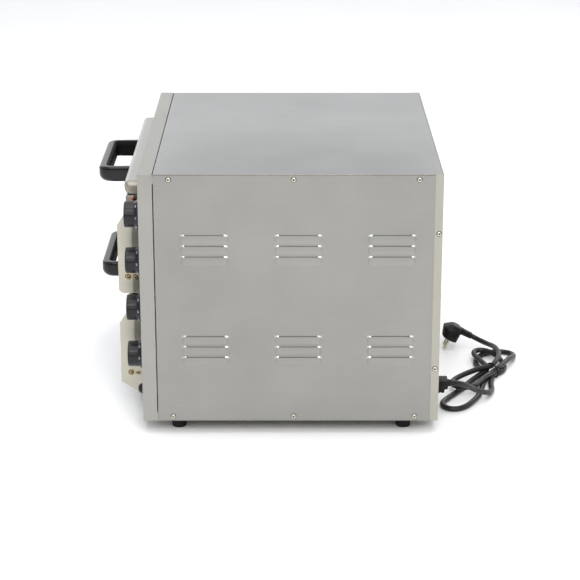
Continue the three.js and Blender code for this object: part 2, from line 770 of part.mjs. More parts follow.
add("cable_gland", cordGland(), MATERIAL.rubber);
add("mains_cord", cordAlong(CORD_POINTS, 32), MATERIAL.cord);
add("cord_lead", cordAlong(LEAD_POINTS, 8), MATERIAL.cord);
add("cord_hank", cordHank(), MATERIAL.cord);
add("cord_tie", cordTie(), MATERIAL.rubber);
add("plug", plug(), MATERIAL.rubber);

export default oven;
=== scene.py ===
"""A double-deck electric pizza oven: the looks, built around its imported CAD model.

Shapes are drawn in the casing's own frame, in millimetres: x across, y back from the fascia's
front, z up from the casing's bottom edge. CASING takes them to the row frame in metres.
"""

import math

import bmesh
import bpy
import numpy as np
from mathutils import Matrix, Vector


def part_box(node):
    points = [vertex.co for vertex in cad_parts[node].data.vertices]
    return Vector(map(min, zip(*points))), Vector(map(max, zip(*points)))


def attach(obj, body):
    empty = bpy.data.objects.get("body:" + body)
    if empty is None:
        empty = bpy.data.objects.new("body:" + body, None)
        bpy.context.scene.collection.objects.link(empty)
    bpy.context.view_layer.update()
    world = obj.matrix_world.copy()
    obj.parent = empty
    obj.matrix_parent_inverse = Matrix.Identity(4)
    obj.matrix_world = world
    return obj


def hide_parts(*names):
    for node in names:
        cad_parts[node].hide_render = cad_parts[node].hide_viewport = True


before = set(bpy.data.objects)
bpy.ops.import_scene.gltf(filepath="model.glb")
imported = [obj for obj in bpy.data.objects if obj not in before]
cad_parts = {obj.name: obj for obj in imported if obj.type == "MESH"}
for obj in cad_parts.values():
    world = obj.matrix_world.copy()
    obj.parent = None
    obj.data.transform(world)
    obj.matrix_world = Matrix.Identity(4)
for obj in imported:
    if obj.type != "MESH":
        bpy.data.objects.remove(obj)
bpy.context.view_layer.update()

MM = 0.001
FRONT_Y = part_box("front_fascia")[0].y
CASE_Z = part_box("side_panel_right")[0].z
CASING = Matrix.Translation((0, FRONT_Y, CASE_Z)) @ Matrix.Scale(MM, 4)
FLOOR = -CASE_Z / MM  # the surface the oven stands on, in the casing's frame


def node_box(node):
    """Lowest and highest corner of a CAD node, in the casing's frame."""
    back = CASING.inverted()
    low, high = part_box(node)
    return back @ low, back @ high


def front_middle(node):
    """Middle of a CAD node as seen from the front, as (x, z), and the y of its tip."""
    low, high = node_box(node)
    return (low.x + high.x) / 2, (low.z + high.z) / 2, low.y


# ---------------------------------------------------------------- driving dimensions
HALF = node_box("front_fascia")[1].x  # half the casing's width
TALL = node_box("front_fascia")[1].z
BACK = node_box("rear_cover")[1].y
PANEL_LOW, PANEL_HIGH = node_box("side_panel_right")
TOP_LOW, TOP_HIGH = node_box("top_cover")
SHEET = 0.9  # how thick the casing's sheets look
DECKS = ("lower", "upper")
KNOBS = (1, 2, 3, 4)
SIDES = ((1, "right"), (-1, "left"))  # which way x goes, and the name in the nodes
CORD_R = 4.5


# ---------------------------------------------------------------- camera, floor and light
CAMERA_PLACE = (2.9523, 0.0383, 1.1435)  # metres, in the row frame
CAMERA_PITCH, CAMERA_YAW = 0.3269, 0.0007  # radians below the level, and off the -x axis
CAMERA_LENS, CAMERA_SENSOR = 114.75, 36  # mm
# sky brightness along each axis: from and to these places on a unit sphere, between these levels
SKY = {"X": (-0.9, 0.9, 1.2, 0.28), "Z": (0.45, 0.95, 0.0, 0.15)}


def camera():
    """Looks at the control side from a little above."""
    level = math.cos(CAMERA_PITCH)
    ahead = Vector((-level, level * CAMERA_YAW, -math.sin(CAMERA_PITCH)))
    across = Vector((CAMERA_YAW, 1, 0)).normalized()
    upward = across.cross(ahead)
    data = bpy.data.cameras.new("camera")
    data.lens, data.sensor_width = CAMERA_LENS, CAMERA_SENSOR
    data.clip_end = 60
    obj = bpy.data.objects.new("camera", data)
    turn = Matrix((across, upward, -ahead)).transposed().to_4x4()
    obj.matrix_world = Matrix.Translation(CAMERA_PLACE) @ turn
    bpy.context.scene.collection.objects.link(obj)
    bpy.context.scene.camera = obj


def area_light(name, place, aim, size, power):
    """A white square lamp of a size in metres and a power in watts, which the camera can't see."""
    data = bpy.data.lights.new(name, "AREA")
    data.shape, data.size, data.energy = "SQUARE", size, power
    obj = bpy.data.objects.new(name, data)
    obj.location = place
    obj.rotation_mode = "QUATERNION"
    obj.rotation_quaternion = (Vector(aim) - Vector(place)).to_track_quat("-Z", "Y")
    obj.visible_camera = False
    bpy.context.scene.collection.objects.link(obj)


def studio():
    """A white studio: bright overhead and behind the oven, dimmer towards the camera's side."""
    world = bpy.data.worlds.new("studio")
    world.use_nodes = True
    tree = world.node_tree
    split = tree.nodes.new("ShaderNodeSeparateXYZ")
    tree.links.new(tree.nodes.new("ShaderNodeTexCoord").outputs["Generated"], split.inputs["Vector"])
    glow = []
    for axis, ends in SKY.items():
        ramp = tree.nodes.new("ShaderNodeMapRange")
        for name, value in zip(("From Min", "From Max", "To Min", "To Max"), ends):
            ramp.inputs[name].default_value = value
        tree.links.new(split.outputs[axis], ramp.inputs["Value"])
        glow.append(ramp.outputs["Result"])
    total = tree.nodes.new("ShaderNodeMath")
    tree.links.new(glow[0], total.inputs[0])
    tree.links.new(glow[1], total.inputs[1])
    back = tree.nodes["Background"]
    back.inputs["Color"].default_value = (0.97, 0.985, 1, 1)
    tree.links.new(total.outputs["Value"], back.inputs["Strength"])
    bpy.context.scene.world = world
    bpy.context.scene.view_settings.view_transform = "Standard"
    area_light("overhead", (0.45, 0.0, 2.7), (0, 0, 0.2), 1.6, 27)
    area_light("key", (3.6, 0.3, 2.9), (0.1, 0, 0.1), 2.2, 132)
    area_light("rear_left", (-2.6, -1.5, 1.8), (0, 0, 0.3), 1.0, 7)
    area_light("rear_right", (-2.6, 1.9, 1.8), (0, 0, 0.3), 1.0, 14)


def floor():
    mesh = bpy.data.meshes.new("floor")
    bm = bmesh.new()
    bmesh.ops.create_grid(bm, x_segments=4, y_segments=4, size=14)
    bm.to_mesh(mesh)
    bm.free()
    obj = bpy.data.objects.new("floor", mesh)
    bpy.context.scene.collection.objects.link(obj)
    paint = Paint("floor_white", (0.93, 0.93, 0.935), 0.35)
    paint.socket("Specular IOR Level", 0.25)
    paint.vary_roughness(paint.noise(3, detail=2), 0.3, 0.42)
    mesh.materials.append(paint.material)


# ---------------------------------------------------------------- materials
class Paint:
    """A Principled material whose detail comes from noise in the piece's own coordinates."""

    def __init__(self, name, colour, roughness, metallic=0.0):
        self.material = bpy.data.materials.new(name)
        self.material.use_nodes = True
        self.tree = self.material.node_tree
        self.shader = self.tree.nodes["Principled BSDF"]
        self.socket("Base Color", (*colour, 1))
        self.socket("Roughness", roughness)
        self.socket("Metallic", metallic)
        self.colour = colour
        self.place = self.tree.nodes.new("ShaderNodeTexCoord").outputs["Object"]
        self.bumped = None

    def socket(self, name, value):
        self.shader.inputs[name].default_value = value

    def link(self, a, b):
        self.tree.links.new(a, b)

    def stretched(self, scale):
        """The piece's coordinates, stretched by a factor along each axis."""
        node = self.tree.nodes.new("ShaderNodeMapping")
        node.inputs["Scale"].default_value = scale
        self.link(self.place, node.inputs["Vector"])
        return node.outputs["Vector"]

    def noise(self, size, stretch=None, detail=4.0, rough=0.5):
        """Noise with size features to the metre."""
        node = self.tree.nodes.new("ShaderNodeTexNoise")
        node.inputs["Scale"].default_value = size
        node.inputs["Detail"].default_value = detail
        node.inputs["Roughness"].default_value = rough
        self.link(self.stretched(stretch) if stretch else self.place, node.inputs["Vector"])
        return node.outputs["Fac"]

    def cells(self, size, stretch=None):
        node = self.tree.nodes.new("ShaderNodeTexVoronoi")
        node.inputs["Scale"].default_value = size
        self.link(self.stretched(stretch) if stretch else self.place, node.inputs["Vector"])
        return node.outputs["Color"]

    def ramp(self, source, low, high, low_at=0.3, high_at=0.7):
        """source taken from low_at..high_at to low..high, which are numbers or colours."""
        if isinstance(low, tuple):
            node = self.tree.nodes.new("ShaderNodeValToRGB")
            first, last = node.color_ramp.elements
            first.position, last.position = low_at, high_at
            first.color, last.color = (*low, 1), (*high, 1)
            self.link(source, node.inputs["Fac"])
            return node.outputs["Color"]
        node = self.tree.nodes.new("ShaderNodeMapRange")
        for name, value in zip(("From Min", "From Max", "To Min", "To Max"), (low_at, high_at, low, high)):
            node.inputs[name].default_value = value
        self.link(source, node.inputs["Value"])
        return node.outputs["Result"]

    def vary_colour(self, source, low, high, low_at=0.3, high_at=0.7):
        """Takes the base colour between two multiples of itself."""
        shades = [tuple(min(1.0, c * k) for c in self.colour) for k in (low, high)]
        self.link(self.ramp(source, *shades, low_at, high_at), self.shader.inputs["Base Color"])

    def vary_roughness(self, source, low, high):
        self.link(self.ramp(source, low, high), self.shader.inputs["Roughness"])

    def bump(self, source, height, strength=1.0):
        """Raises the surface by source times height, in metres, over any bump before it."""
        node = self.tree.nodes.new("ShaderNodeBump")
        node.inputs["Strength"].default_value = strength
        node.inputs["Distance"].default_value = height
        self.link(source, node.inputs["Height"])
        if self.bumped:
            self.link(self.bumped, node.inputs["Normal"])
        self.bumped = node.outputs["Normal"]
        self.link(self.bumped, self.shader.inputs["Normal"])


def brushed_steel(name, colour, roughness, grain, mottle=0.04):
    """Satin sheet: fine lines along one axis, faint clouding, a slightly uneven polish."""
    paint = Paint(name, colour, roughness, 1.0)
    lines = paint.noise(30, grain, detail=3, rough=0.6)
    clouds = paint.noise(9, detail=3)
    mix = paint.tree.nodes.new("ShaderNodeMix")
    mix.inputs["Factor"].default_value = 0.45
    paint.link(lines, mix.inputs["A"])
    paint.link(clouds, mix.inputs["B"])
    paint.vary_colour(mix.outputs["Result"], 1 - mottle, 1 + mottle, 0.35, 0.65)
    paint.vary_roughness(lines, roughness - 0.05, roughness + 0.08)
    paint.bump(lines, 0.00002, 0.25)
    return paint.material


def galvanised_steel():
    paint = Paint("zinc_sheet", (0.42, 0.43, 0.44), 0.45, 1.0)
    paint.vary_colour(paint.cells(140), 0.8, 1.15, 0.1, 0.9)
    paint.vary_roughness(paint.noise(60), 0.36, 0.58)
    paint.bump(paint.noise(25, detail=3), 0.0003, 0.4)
    return paint.material


def plated_metal(name, colour, roughness=0.25):
    paint = Paint(name, colour, roughness, 1.0)
    paint.vary_roughness(paint.noise(900), roughness - 0.06, roughness + 0.12)
    paint.vary_colour(paint.noise(400), 0.82, 1.08)
    return paint.material


def black_bakelite(name, colour, roughness, gloss):
    paint = Paint(name, colour, roughness)
    paint.socket("Specular IOR Level", gloss)
    paint.vary_roughness(paint.noise(120, detail=5), roughness - 0.04, roughness + 0.07)
    paint.bump(paint.noise(90, detail=2), 0.00012, 0.25)
    return paint.material


def moulded_plastic(name, colour, roughness, grain=2600, gloss=0.3):
    paint = Paint(name, colour, roughness)
    paint.socket("Specular IOR Level", gloss)
    paint.vary_colour(paint.noise(60), 0.85, 1.15)
    paint.vary_roughness(paint.noise(300), roughness - 0.06, roughness + 0.08)
    paint.bump(paint.noise(grain, detail=2), 0.00006, 0.6)
    return paint.material


def cord_sheath():
    """Dull grey-black rubber, dusted a little, with a fine grain."""
    paint = Paint("cord_sheath", (0.014, 0.012, 0.0127), 0.4)
    paint.socket("Specular IOR Level", 0.33)
    paint.vary_colour(paint.noise(70, detail=5), 0.7, 1.4)
    paint.vary_roughness(paint.noise(160), 0.32, 0.5)
    paint.bump(paint.noise(1400, detail=3), 0.00008, 0.6)
    return paint.material


def rough_stone():
    paint = Paint("baking_stone", (0.55, 0.45, 0.33), 0.95)
    paint.vary_colour(paint.noise(60, detail=8, rough=0.7), 0.75, 1.2)
    paint.bump(paint.noise(500, detail=6), 0.0006, 0.8)
    return paint.material


def mineral_wool():
    paint = Paint("mineral_wool", (0.72, 0.66, 0.5), 1.0)
    paint.socket("Sheen Weight", 0.3)
    paint.vary_colour(paint.noise(150, (1, 1, 5), detail=6), 0.7, 1.1)
    paint.bump(paint.noise(300, (1, 1, 6), detail=6), 0.002, 0.8)
    return paint.material


def heated_sheath():
    """Element tube: dark oxide with bluish and brownish heat colours."""
    paint = Paint("element_sheath", (0.10, 0.095, 0.10), 0.45, 0.9)
    tint = paint.ramp(paint.noise(25, detail=3), (0.13, 0.10, 0.08), (0.07, 0.08, 0.11))
    paint.link(tint, paint.shader.inputs["Base Color"])
    paint.vary_roughness(paint.noise(200), 0.35, 0.6)
    return paint.material


def lamp_lens():
    paint = Paint("lamp_lens", (0.38, 0.11, 0.05), 0.25)
    paint.socket("Coat Weight", 0.4)
    paint.socket("Subsurface Weight", 0.25)
    paint.socket("Subsurface Scale", 0.002)
    paint.vary_colour(paint.noise(500, detail=2), 0.8, 1.15)
    paint.bump(paint.cells(900), 0.0001, 0.4)
    return paint.material


def glazed_ceramic():
    paint = Paint("ceramic", (0.78, 0.75, 0.66), 0.35)
    paint.vary_colour(paint.noise(200), 0.9, 1.05)
    paint.bump(paint.noise(600), 0.00008, 0.5)
    return paint.material


ALONG_X, ALONG_Y, ALONG_Z = (0.02, 20, 20), (20, 0.02, 20), (20, 20, 0.02)
MATERIALS = {
    "side": brushed_steel("side_steel", (0.322, 0.316, 0.298), 0.42, ALONG_Y, 0.08),
    "top": brushed_steel("top_steel", (0.318, 0.319, 0.316), 0.34, ALONG_Y, 0.09),
    "fascia": brushed_steel("fascia_steel", (0.350, 0.342, 0.317), 0.36, ALONG_Z, 0.08),
    "rear": brushed_steel("rear_steel", (0.415, 0.402, 0.35), 0.42, ALONG_Z, 0.06),
    "door": brushed_steel("door_steel", (0.40, 0.40, 0.385), 0.32, ALONG_X, 0.03),
    "rim": brushed_steel("rim_steel", (0.42, 0.418, 0.40), 0.42, ALONG_X, 0.05),
    # a darker, warmer copy of the rim's steel for its domed ends: painted shade
    "rim_dome_shade": brushed_steel("rim_dome_shade_steel", (0.38, 0.355, 0.30), 0.55, ALONG_X, 0.04),
    # a lighter copy of the side's steel on the louvres' ends: a painted glint
    "louvre_glint": brushed_steel("louvre_end_glint_steel", (0.64, 0.63, 0.58), 0.34, ALONG_Y, 0.03),
    # the sheet's cut edges, mostly at the slits, darkened as the slits' painted shade
    "edge": brushed_steel("slit_edge_shade_steel", (0.17, 0.165, 0.15), 0.6, ALONG_Y, 0.04),
    # painted shade: a darker steel for the bracket strips beside the fascia and the door pans' ends
    "painted_shade": brushed_steel("shade_painted_steel", (0.30, 0.285, 0.245), 0.5, ALONG_Z, 0.06),
    # a dark strip standing in for the shadow in the open joint at the top of each side
    "joint": moulded_plastic("joint_shadow", (0.20, 0.185, 0.155), 0.7),
    "bracket": brushed_steel("bracket_steel", (0.54, 0.515, 0.44), 0.42, ALONG_Z, 0.025),
    "zinc": galvanised_steel(),
    "screw": plated_metal("screw_nickel", (0.80, 0.75, 0.62), 0.32),
    "brass": plated_metal("screw_brass", (0.66, 0.55, 0.36)),
    "pin": plated_metal("pin_nickel", (0.66, 0.60, 0.46), 0.22),
    "bakelite": black_bakelite("handle_bakelite", (0.0055, 0.005, 0.0052), 0.12, 0.36),
    "bakelite_matt": black_bakelite("handle_bakelite_matt", (0.007, 0.006, 0.006), 0.5, 0.04),
    "knob": moulded_plastic("knob_plastic", (0.011, 0.010, 0.0115), 0.3, 2600, 0.36),
    "skirt": moulded_plastic("knob_skirt", (0.014, 0.016, 0.026), 0.28, 2600, 0.3),
    "marking": moulded_plastic("dial_marking", (0.75, 0.75, 0.76), 0.5),
    "rubber": moulded_plastic("black_rubber", (0.009, 0.008, 0.008), 0.55, 1500, 0.25),
    "plug": moulded_plastic("plug_rubber", (0.007, 0.006, 0.006), 0.42, 1800, 0.22),
    # painted shade: the screws' cross recesses and a thin dark disc under each head
    "recess_shade": moulded_plastic("screw_painted_shade", (0.035, 0.026, 0.018), 0.7),
    "cord": cord_sheath(),
    "stone": rough_stone(),
    "wool": mineral_wool(),
    "element": heated_sheath(),
    "lens": lamp_lens(),
    "ceramic": glazed_ceramic(),
}


# ---------------------------------------------------------------- mesh tools
def piece(name, bm, paint, body, replaces=(), solid=0.0, smooth=38, outward=True, more=()):
    """Makes an object of a mesh drawn in the casing's frame. solid thickens an open sheet inwards,
    and its border is marked sharp, so that the shading of its face stops there. outward turns
    every face outwards, which a mesh that is drawn the right way round doesn't need. more is the
    materials after the first."""
    if outward:
        bmesh.ops.recalc_face_normals(bm, faces=bm.faces)
    bmesh.ops.transform(bm, matrix=CASING, verts=bm.verts)
    bm.edges.index_update()
    borders = [edge.index for edge in bm.edges if edge.is_boundary]
    mesh = bpy.data.meshes.new(name)
    bm.to_mesh(mesh)
    bm.free()
    mesh.shade_smooth()
    mesh.set_sharp_from_angle(angle=math.radians(smooth))
    for index in borders:
        mesh.edges[index].use_edge_sharp = True
    obj = bpy.data.objects.new(name, mesh)
    bpy.context.scene.collection.objects.link(obj)
    for each in (paint, *more):
        mesh.materials.append(MATERIALS[each])
    if solid:
        thick = obj.modifiers.new("sheet", "SOLIDIFY")
        thick.thickness, thick.offset = solid * MM, -1
        thick.use_even_offset = True
    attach(obj, body)
    if replaces:
        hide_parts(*replaces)
    return obj


def dress(nodes, paint, bevel=0.0):
    """Gives CAD nodes their material, and softens their edges."""
    for node in nodes:
        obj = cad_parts[node]
        obj.data.materials.clear()
        obj.data.materials.append(MATERIALS[paint])
        if bevel:
            mod = obj.modifiers.new("edges", "BEVEL")
            mod.width, mod.segments = bevel * MM, 2
            mod.limit_method, mod.angle_limit = "ANGLE", math.radians(38)


def add_block(bm, low, high):
    """A box between two corners."""
    size = Vector(high) - Vector(low)
    middle = (Vector(high) + Vector(low)) / 2
    matrix = Matrix.Translation(middle) @ Matrix.Diagonal((*size, 1))
    bmesh.ops.create_cube(bm, size=1, matrix=matrix)


def inside_face(side, face, deep, clear):
    """The two x values, low one first, of a strip between deep and clear within a side's face."""
    return sorted((face - side * deep, face - side * clear))


def bevel_all(bm, width, segments=3, angle=30):
    """Rounds every edge sharper than angle that has a face on both sides."""
    sharp = [e for e in bm.edges if len(e.link_faces) == 2 and e.calc_face_angle() > math.radians(angle)]
    bmesh.ops.bevel(bm, geom=sharp, offset=width, segments=segments, profile=0.5, affect="EDGES")


def add_rings(bm, rings, caps=True):
    """Skins a row of rings with equal counts of points, and returns the rings' vertices."""
    made = [[bm.verts.new(p) for p in ring] for ring in rings]
    count = len(made[0])
    for one, two in zip(made, made[1:]):
        for i in range(count):
            j = (i + 1) % count
            bm.faces.new((one[i], one[j], two[j], two[i]))
    if caps:
        bm.faces.new(made[0][::-1])
        bm.faces.new(made[-1])
    return made


# a point at radius r and angle a about each axis, t along it
AXES = {
    "x": lambda r, a, t: (t, r * math.cos(a), r * math.sin(a)),
    "y": lambda r, a, t: (r * math.cos(a), t, r * math.sin(a)),
    "z": lambda r, a, t: (r * math.cos(a), r * math.sin(a), t),
}


def add_turned(bm, profile, centre=(0, 0, 0), axis="y", segments=32, shape=None):
    """A turned piece from [radius, distance along the axis] pairs that start and end on the axis.
    shape, if given, changes the radius at an angle."""
    shape = shape or (lambda r, a, t: r)
    angles = [2 * math.pi * i / segments for i in range(segments)]
    rings = [
        [Vector(AXES[axis](shape(r, a, t), a, t)) + Vector(centre) for a in angles]
        for r, t in profile[1:-1]
    ]
    made = add_rings(bm, rings, caps=False)
    for ring, (_, t) in ((made[0], profile[0]), (made[-1], profile[-1])):
        tip = bm.verts.new(Vector(AXES[axis](0, 0, t)) + Vector(centre))
        for i in range(segments):
            bm.faces.new((ring[i], ring[(i + 1) % segments], tip))


def rounded_rect(half_w, half_h, radii, steps=5):
    """Corner points of a rectangle with four corner radii, from the +w +h corner round."""
    points = []
    corners = ((1, 1, 0), (-1, 1, 90), (-1, -1, 180), (1, -1, 270))
    for (sw, sh, start), r in zip(corners, radii):
        for i in range(steps + 1):
            a = math.radians(start + 90 * i / steps)
            points.append((sw * (half_w - r) + r * math.cos(a), sh * (half_h - r) + r * math.sin(a)))
    return points


def resampled(points, step):
    """Points an equal step apart along a polyline."""
    line = np.array(points, float)
    gone = np.r_[0, np.cumsum(np.linalg.norm(np.diff(line, axis=0), axis=1))]
    marks = np.linspace(0, gone[-1], max(2, int(gone[-1] / step)) + 1)
    return np.stack([np.interp(marks, gone, line[:, k]) for k in range(3)], axis=1)


def flowing(points, step=4.0, eased=4):
    """A smooth line through points: a centripetal Catmull-Rom curve, worked out by repeated
    interpolation between its knots 0, t1, t2 and t3, and eased a little."""
    given = np.array(points, float)
    given = np.vstack([2 * given[0] - given[1], given, 2 * given[-1] - given[-2]])
    line = []
    for p0, p1, p2, p3 in zip(given, given[1:], given[2:], given[3:]):
        t1 = np.linalg.norm(p1 - p0) ** 0.5
        t2 = t1 + np.linalg.norm(p2 - p1) ** 0.5
        t3 = t2 + np.linalg.norm(p3 - p2) ** 0.5
        for t in np.linspace(t1, t2, 12, endpoint=False):
            a1 = ((t1 - t) * p0 + t * p1) / t1
            a2 = ((t2 - t) * p1 + (t - t1) * p2) / (t2 - t1)
            a3 = ((t3 - t) * p2 + (t - t2) * p3) / (t3 - t2)
            b1 = ((t2 - t) * a1 + t * a2) / t2
            b2 = ((t3 - t) * a2 + (t - t1) * a3) / (t3 - t1)
            line.append(((t2 - t) * b1 + (t - t1) * b2) / (t2 - t1))
    line = resampled([*line, given[-2]], step)
    for _ in range(eased):
        line[1:-1] = 0.5 * line[1:-1] + 0.25 * (line[:-2] + line[2:])
    return line


def round_wire(name, line, radius, paint, body, replaces=(), sides=4):
    """A curve with a round section along points in the casing's frame."""
    data = bpy.data.curves.new(name, "CURVE")
    data.dimensions = "3D"
    data.bevel_depth, data.bevel_resolution, data.use_fill_caps = radius * MM, sides, True
    spline = data.splines.new("POLY")
    spline.points.add(len(line) - 1)
    for point, place in zip(spline.points, line):
        point.co = (*(CASING @ Vector(place)), 1)
    data.materials.append(MATERIALS[paint])
    obj = bpy.data.objects.new(name, data)
    bpy.context.scene.collection.objects.link(obj)
    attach(obj, body)
    if replaces:
        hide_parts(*replaces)
    return obj


# ---------------------------------------------------------------- mains cord
# The hank's middle is where the tie holds it. Its points are [towards the near end, towards
# +y, height], and the rest of the cord's are [x, y, height], all in millimetres.
TIE_PLACE = Vector((38.0, 569.5))
TOWARDS_NEAR = Vector((0.8696, -0.4938))
TOWARDS_REAR = Vector((0.4938, 0.8696))
# where each strand passes through the tie
LOW_LEFT, LOW_RIGHT = (0, -4.7, 4.6), (0, 4.7, 4.6)
HIGH_LEFT, HIGH_RIGHT, TOPMOST = (0, -7, 13.4), (0, 7, 13.4), (0, 0, 19.8)
ENTRY = [
    (200, 465, 53.5), (200, 476, 53.5), (200, 487, 53.5), (196.5, 498, 51.5), (188, 508.5, 46),
    (176, 518.5, 37.5), (163, 529, 27.5), (152, 540.5, 19.5), (141, 551, 13), (126, 558.5, 8.5),
    (108, 563.5, 5.5), (88, 564, 4.7),
]
INTO_TIE = [(20, 9.5, 4.6), LOW_RIGHT]
FAR_FOLD_LEFT = [
    (-20, 10, 4.6), (-42, 6, 4.6), (-58, -4, 5.5), (-67, -15, 9.5), (-72, -27, 13.6), (-77, -41, 14),
    (-76, -55, 14), (-64, -61, 14), (-50, -54, 14), (-34, -39, 13.8), (-15, -18, 13.6), HIGH_LEFT,
]
NEAR_FOLD_LONG = [
    (14, -10, 11), (30, -14.5, 7), (46, -17, 4.8), (75, -17, 4.6), (105, -17.5, 4.6), (135, -19, 4.6),
    (156, -18, 4.6), (169, -9, 4.6), (173, 3, 4.6), (168, 14, 4.6), (153, 21, 4.6), (125, 22.5, 4.6),
    (95, 19.5, 4.6), (70, 13, 4.6), (48, 6, 4.6), (28, 0, 4.6), (12, -3.5, 4.6), LOW_LEFT,
]
FAR_FOLD_RIGHT = [
    (-8, -15, 4.6), (-20, -32, 4.6), (-38, -46, 4.6), (-62, -53, 4.6), (-86, -50, 4.6), (-104, -39, 4.6),
    (-111, -23, 4.6), (-107, -7, 5), (-94, 1, 7), (-78, 4, 11), (-60, 5.5, 13.8), (-40, 6.5, 13.9),
    (-20, 7, 13.6), HIGH_RIGHT,
]
NEAR_FOLD_SHORT = [
    (16, 6.5, 13.6), (34, 5, 14), (54, 5, 13.8), (70, 6.5, 13.5), (84, 6, 13.6), (96, -1, 13.8),
    (101, -13, 14), (98, -25, 14), (87, -33, 14), (71, -34, 14.4), (53, -30, 15.4), (36, -23, 17),
    (18, -12.5, 19.4), TOPMOST,
]
TO_PLUG = [
    (22, 578, 22.6), (2, 585, 23), (-18, 587, 23), (-38, 585.5, 22.8), (-58, 581.5, 20.5),
    (-74, 575.5, 17.6), (-89, 566.7, 17.1), (-98, 559.5, 17.8), (-103, 553.4, 19.6), (-104, 549, 21.8),
]


def in_hank(points):
    """Points of the hank's own axes as [x, y, height]."""
    made = []
    for near, rear, height in points:
        place = TIE_PLACE + near * TOWARDS_NEAR + rear * TOWARDS_REAR
        made.append((place.x, place.y, height))
    return made


def cord_line():
    """The cord's middle line from inside the gland to the plug, in the casing's frame."""
    folds = (INTO_TIE, FAR_FOLD_LEFT, NEAR_FOLD_LONG, FAR_FOLD_RIGHT, NEAR_FOLD_SHORT)
    route = ENTRY + [p for fold in folds for p in in_hank(fold)] + TO_PLUG
    line = flowing(route)
    line[:, 2] = np.maximum(line[:, 2], CORD_R + 0.1) + FLOOR
    return line


def cord_tie():
    """A black wire twisted round the hank's waist, its ends standing up a little."""
    round_bundle = [
        (-8, 0.8), (0, 0.6), (8.5, 0.9), (12.6, 5), (12.9, 12), (9.5, 18.8), (3.5, 24.2),
        (-2.5, 25.2), (-8, 21), (-12.3, 15.5), (-10.5, 7), (-9.6, 2.2),
    ]
    once_round = [(0.15 * i, rear, height) for i, (rear, height) in enumerate(round_bundle)]
    over_again = [(1.5, -7, 20), (1.8, 3, 25.6)]
    twist = [(2.2 * math.cos(1.5 * i) + 2, 11 + 1.7 * i, 20 + 1.6 * math.sin(1.5 * i)) for i in range(8)]
    route = [(x, y, height + FLOOR) for x, y, height in in_hank(once_round + over_again + twist)]
    return round_wire("tie_wire", flowing(route, 1.5, 2), 1.1, "rubber", "oven",
                      ["cord_tie"], 3)


GLAND_HALF, GLAND_TOP, GLAND_END = 11.3, 6.6, 27  # half width, top above the cord, sleeve's end
# along the gland from the cover: [distance, share of its full outline, height of its underside]
GLAND_RINGS = [
    (0, 0.96, -13.2), (0.6, 1, -13.6), (4, 1, -13.6), (4.3, 0.95, -13.2), (5.3, 0.95, -13.2),
    (5.6, 1, -13.6), (8.6, 1, -13.6), (8.9, 0.95, -13.2), (9.9, 0.95, -13.2), (10.2, 1, -13.6),
    (14.6, 1, -13.6), (15.2, 1, -12.4), (15.8, 1, -8), (20, 1, -7.4), (20.8, 0.93, -6.8),
]


def cable_gland():
    """A moulded, ribbed clamp with a flange along its top, and a tapered sleeve round the cord."""
    x, z, _ = front_middle("cable_gland")
    face = BACK + 0.3
    bm = bmesh.new()
    rings = []
    for away, share, under in GLAND_RINGS:
        half_h = (GLAND_TOP - under) / 2
        outline = rounded_rect(GLAND_HALF * share, half_h * share, [2.4] * 4, 4)
        rings.append([Vector((x + u, face + away, z + GLAND_TOP - half_h + v)) for u, v in outline])
    add_rings(bm, rings)
    flange = GLAND_HALF + 0.9
    flange_low, flange_high = z + GLAND_TOP - 1.4, z + GLAND_TOP + 0.8
    add_block(bm, (x - flange, face, flange_low), (x + flange, face + 20.6, flange_high))
    bevel_all(bm, 0.4, 2, 60)
    sleeve = [(0, face + 20)]
    for rib in range(4):
        r, t = 6.3 - 0.28 * rib, face + 20.2 + 1.7 * rib
        sleeve += [(r, t), (r - 0.1, t + 1.0), (r - 0.4, t + 1.1), (r - 0.45, t + 1.6)]
    add_turned(bm, [*sleeve, (5.0, face + GLAND_END), (0, face + GLAND_END)], (x, 0, z), "y", 24)
    return piece("gland_nut", bm, "rubber", "oven", ["cable_gland"], smooth=30)


PLUG_FACE = Vector((-104, 509.3, 18.6))  # middle of the face with the pins, and its height
PLUG_LEAN = 0.47  # radians from straight down to the way the pins point
PLUG_HALF = (18.5, 14.25)  # half widths of the body
# height above the face with the pins, shares of the body's half widths, and shift along y
PLUG_LAYERS = [
    (0, 0.9, 0.9, 0), (0.9, 0.985, 0.985, 0), (2.2, 1, 1, 0), (10, 1, 1.11, -1.6),
    (16.5, 0.995, 1.18, -2.6), (17.6, 0.98, 1.17, -2.5), (25.2, 0.74, 0.72, 0.6),
    (26.8, 0.62, 0.56, 1.4), (27.4, 0.4, 0.36, 1.8),
]
BOOT_START, BOOT_LENGTH, BOOT_Z = -3, 36, 20.9  # along y from the body's middle, and its height


def plug_place():
    """Takes the plug's own frame, its pins pointing down, to where it lies."""
    spot = Matrix.Translation((PLUG_FACE.x, PLUG_FACE.y, PLUG_FACE.z + FLOOR))
    return spot @ Matrix.Rotation(-PLUG_LEAN, 4, "X")


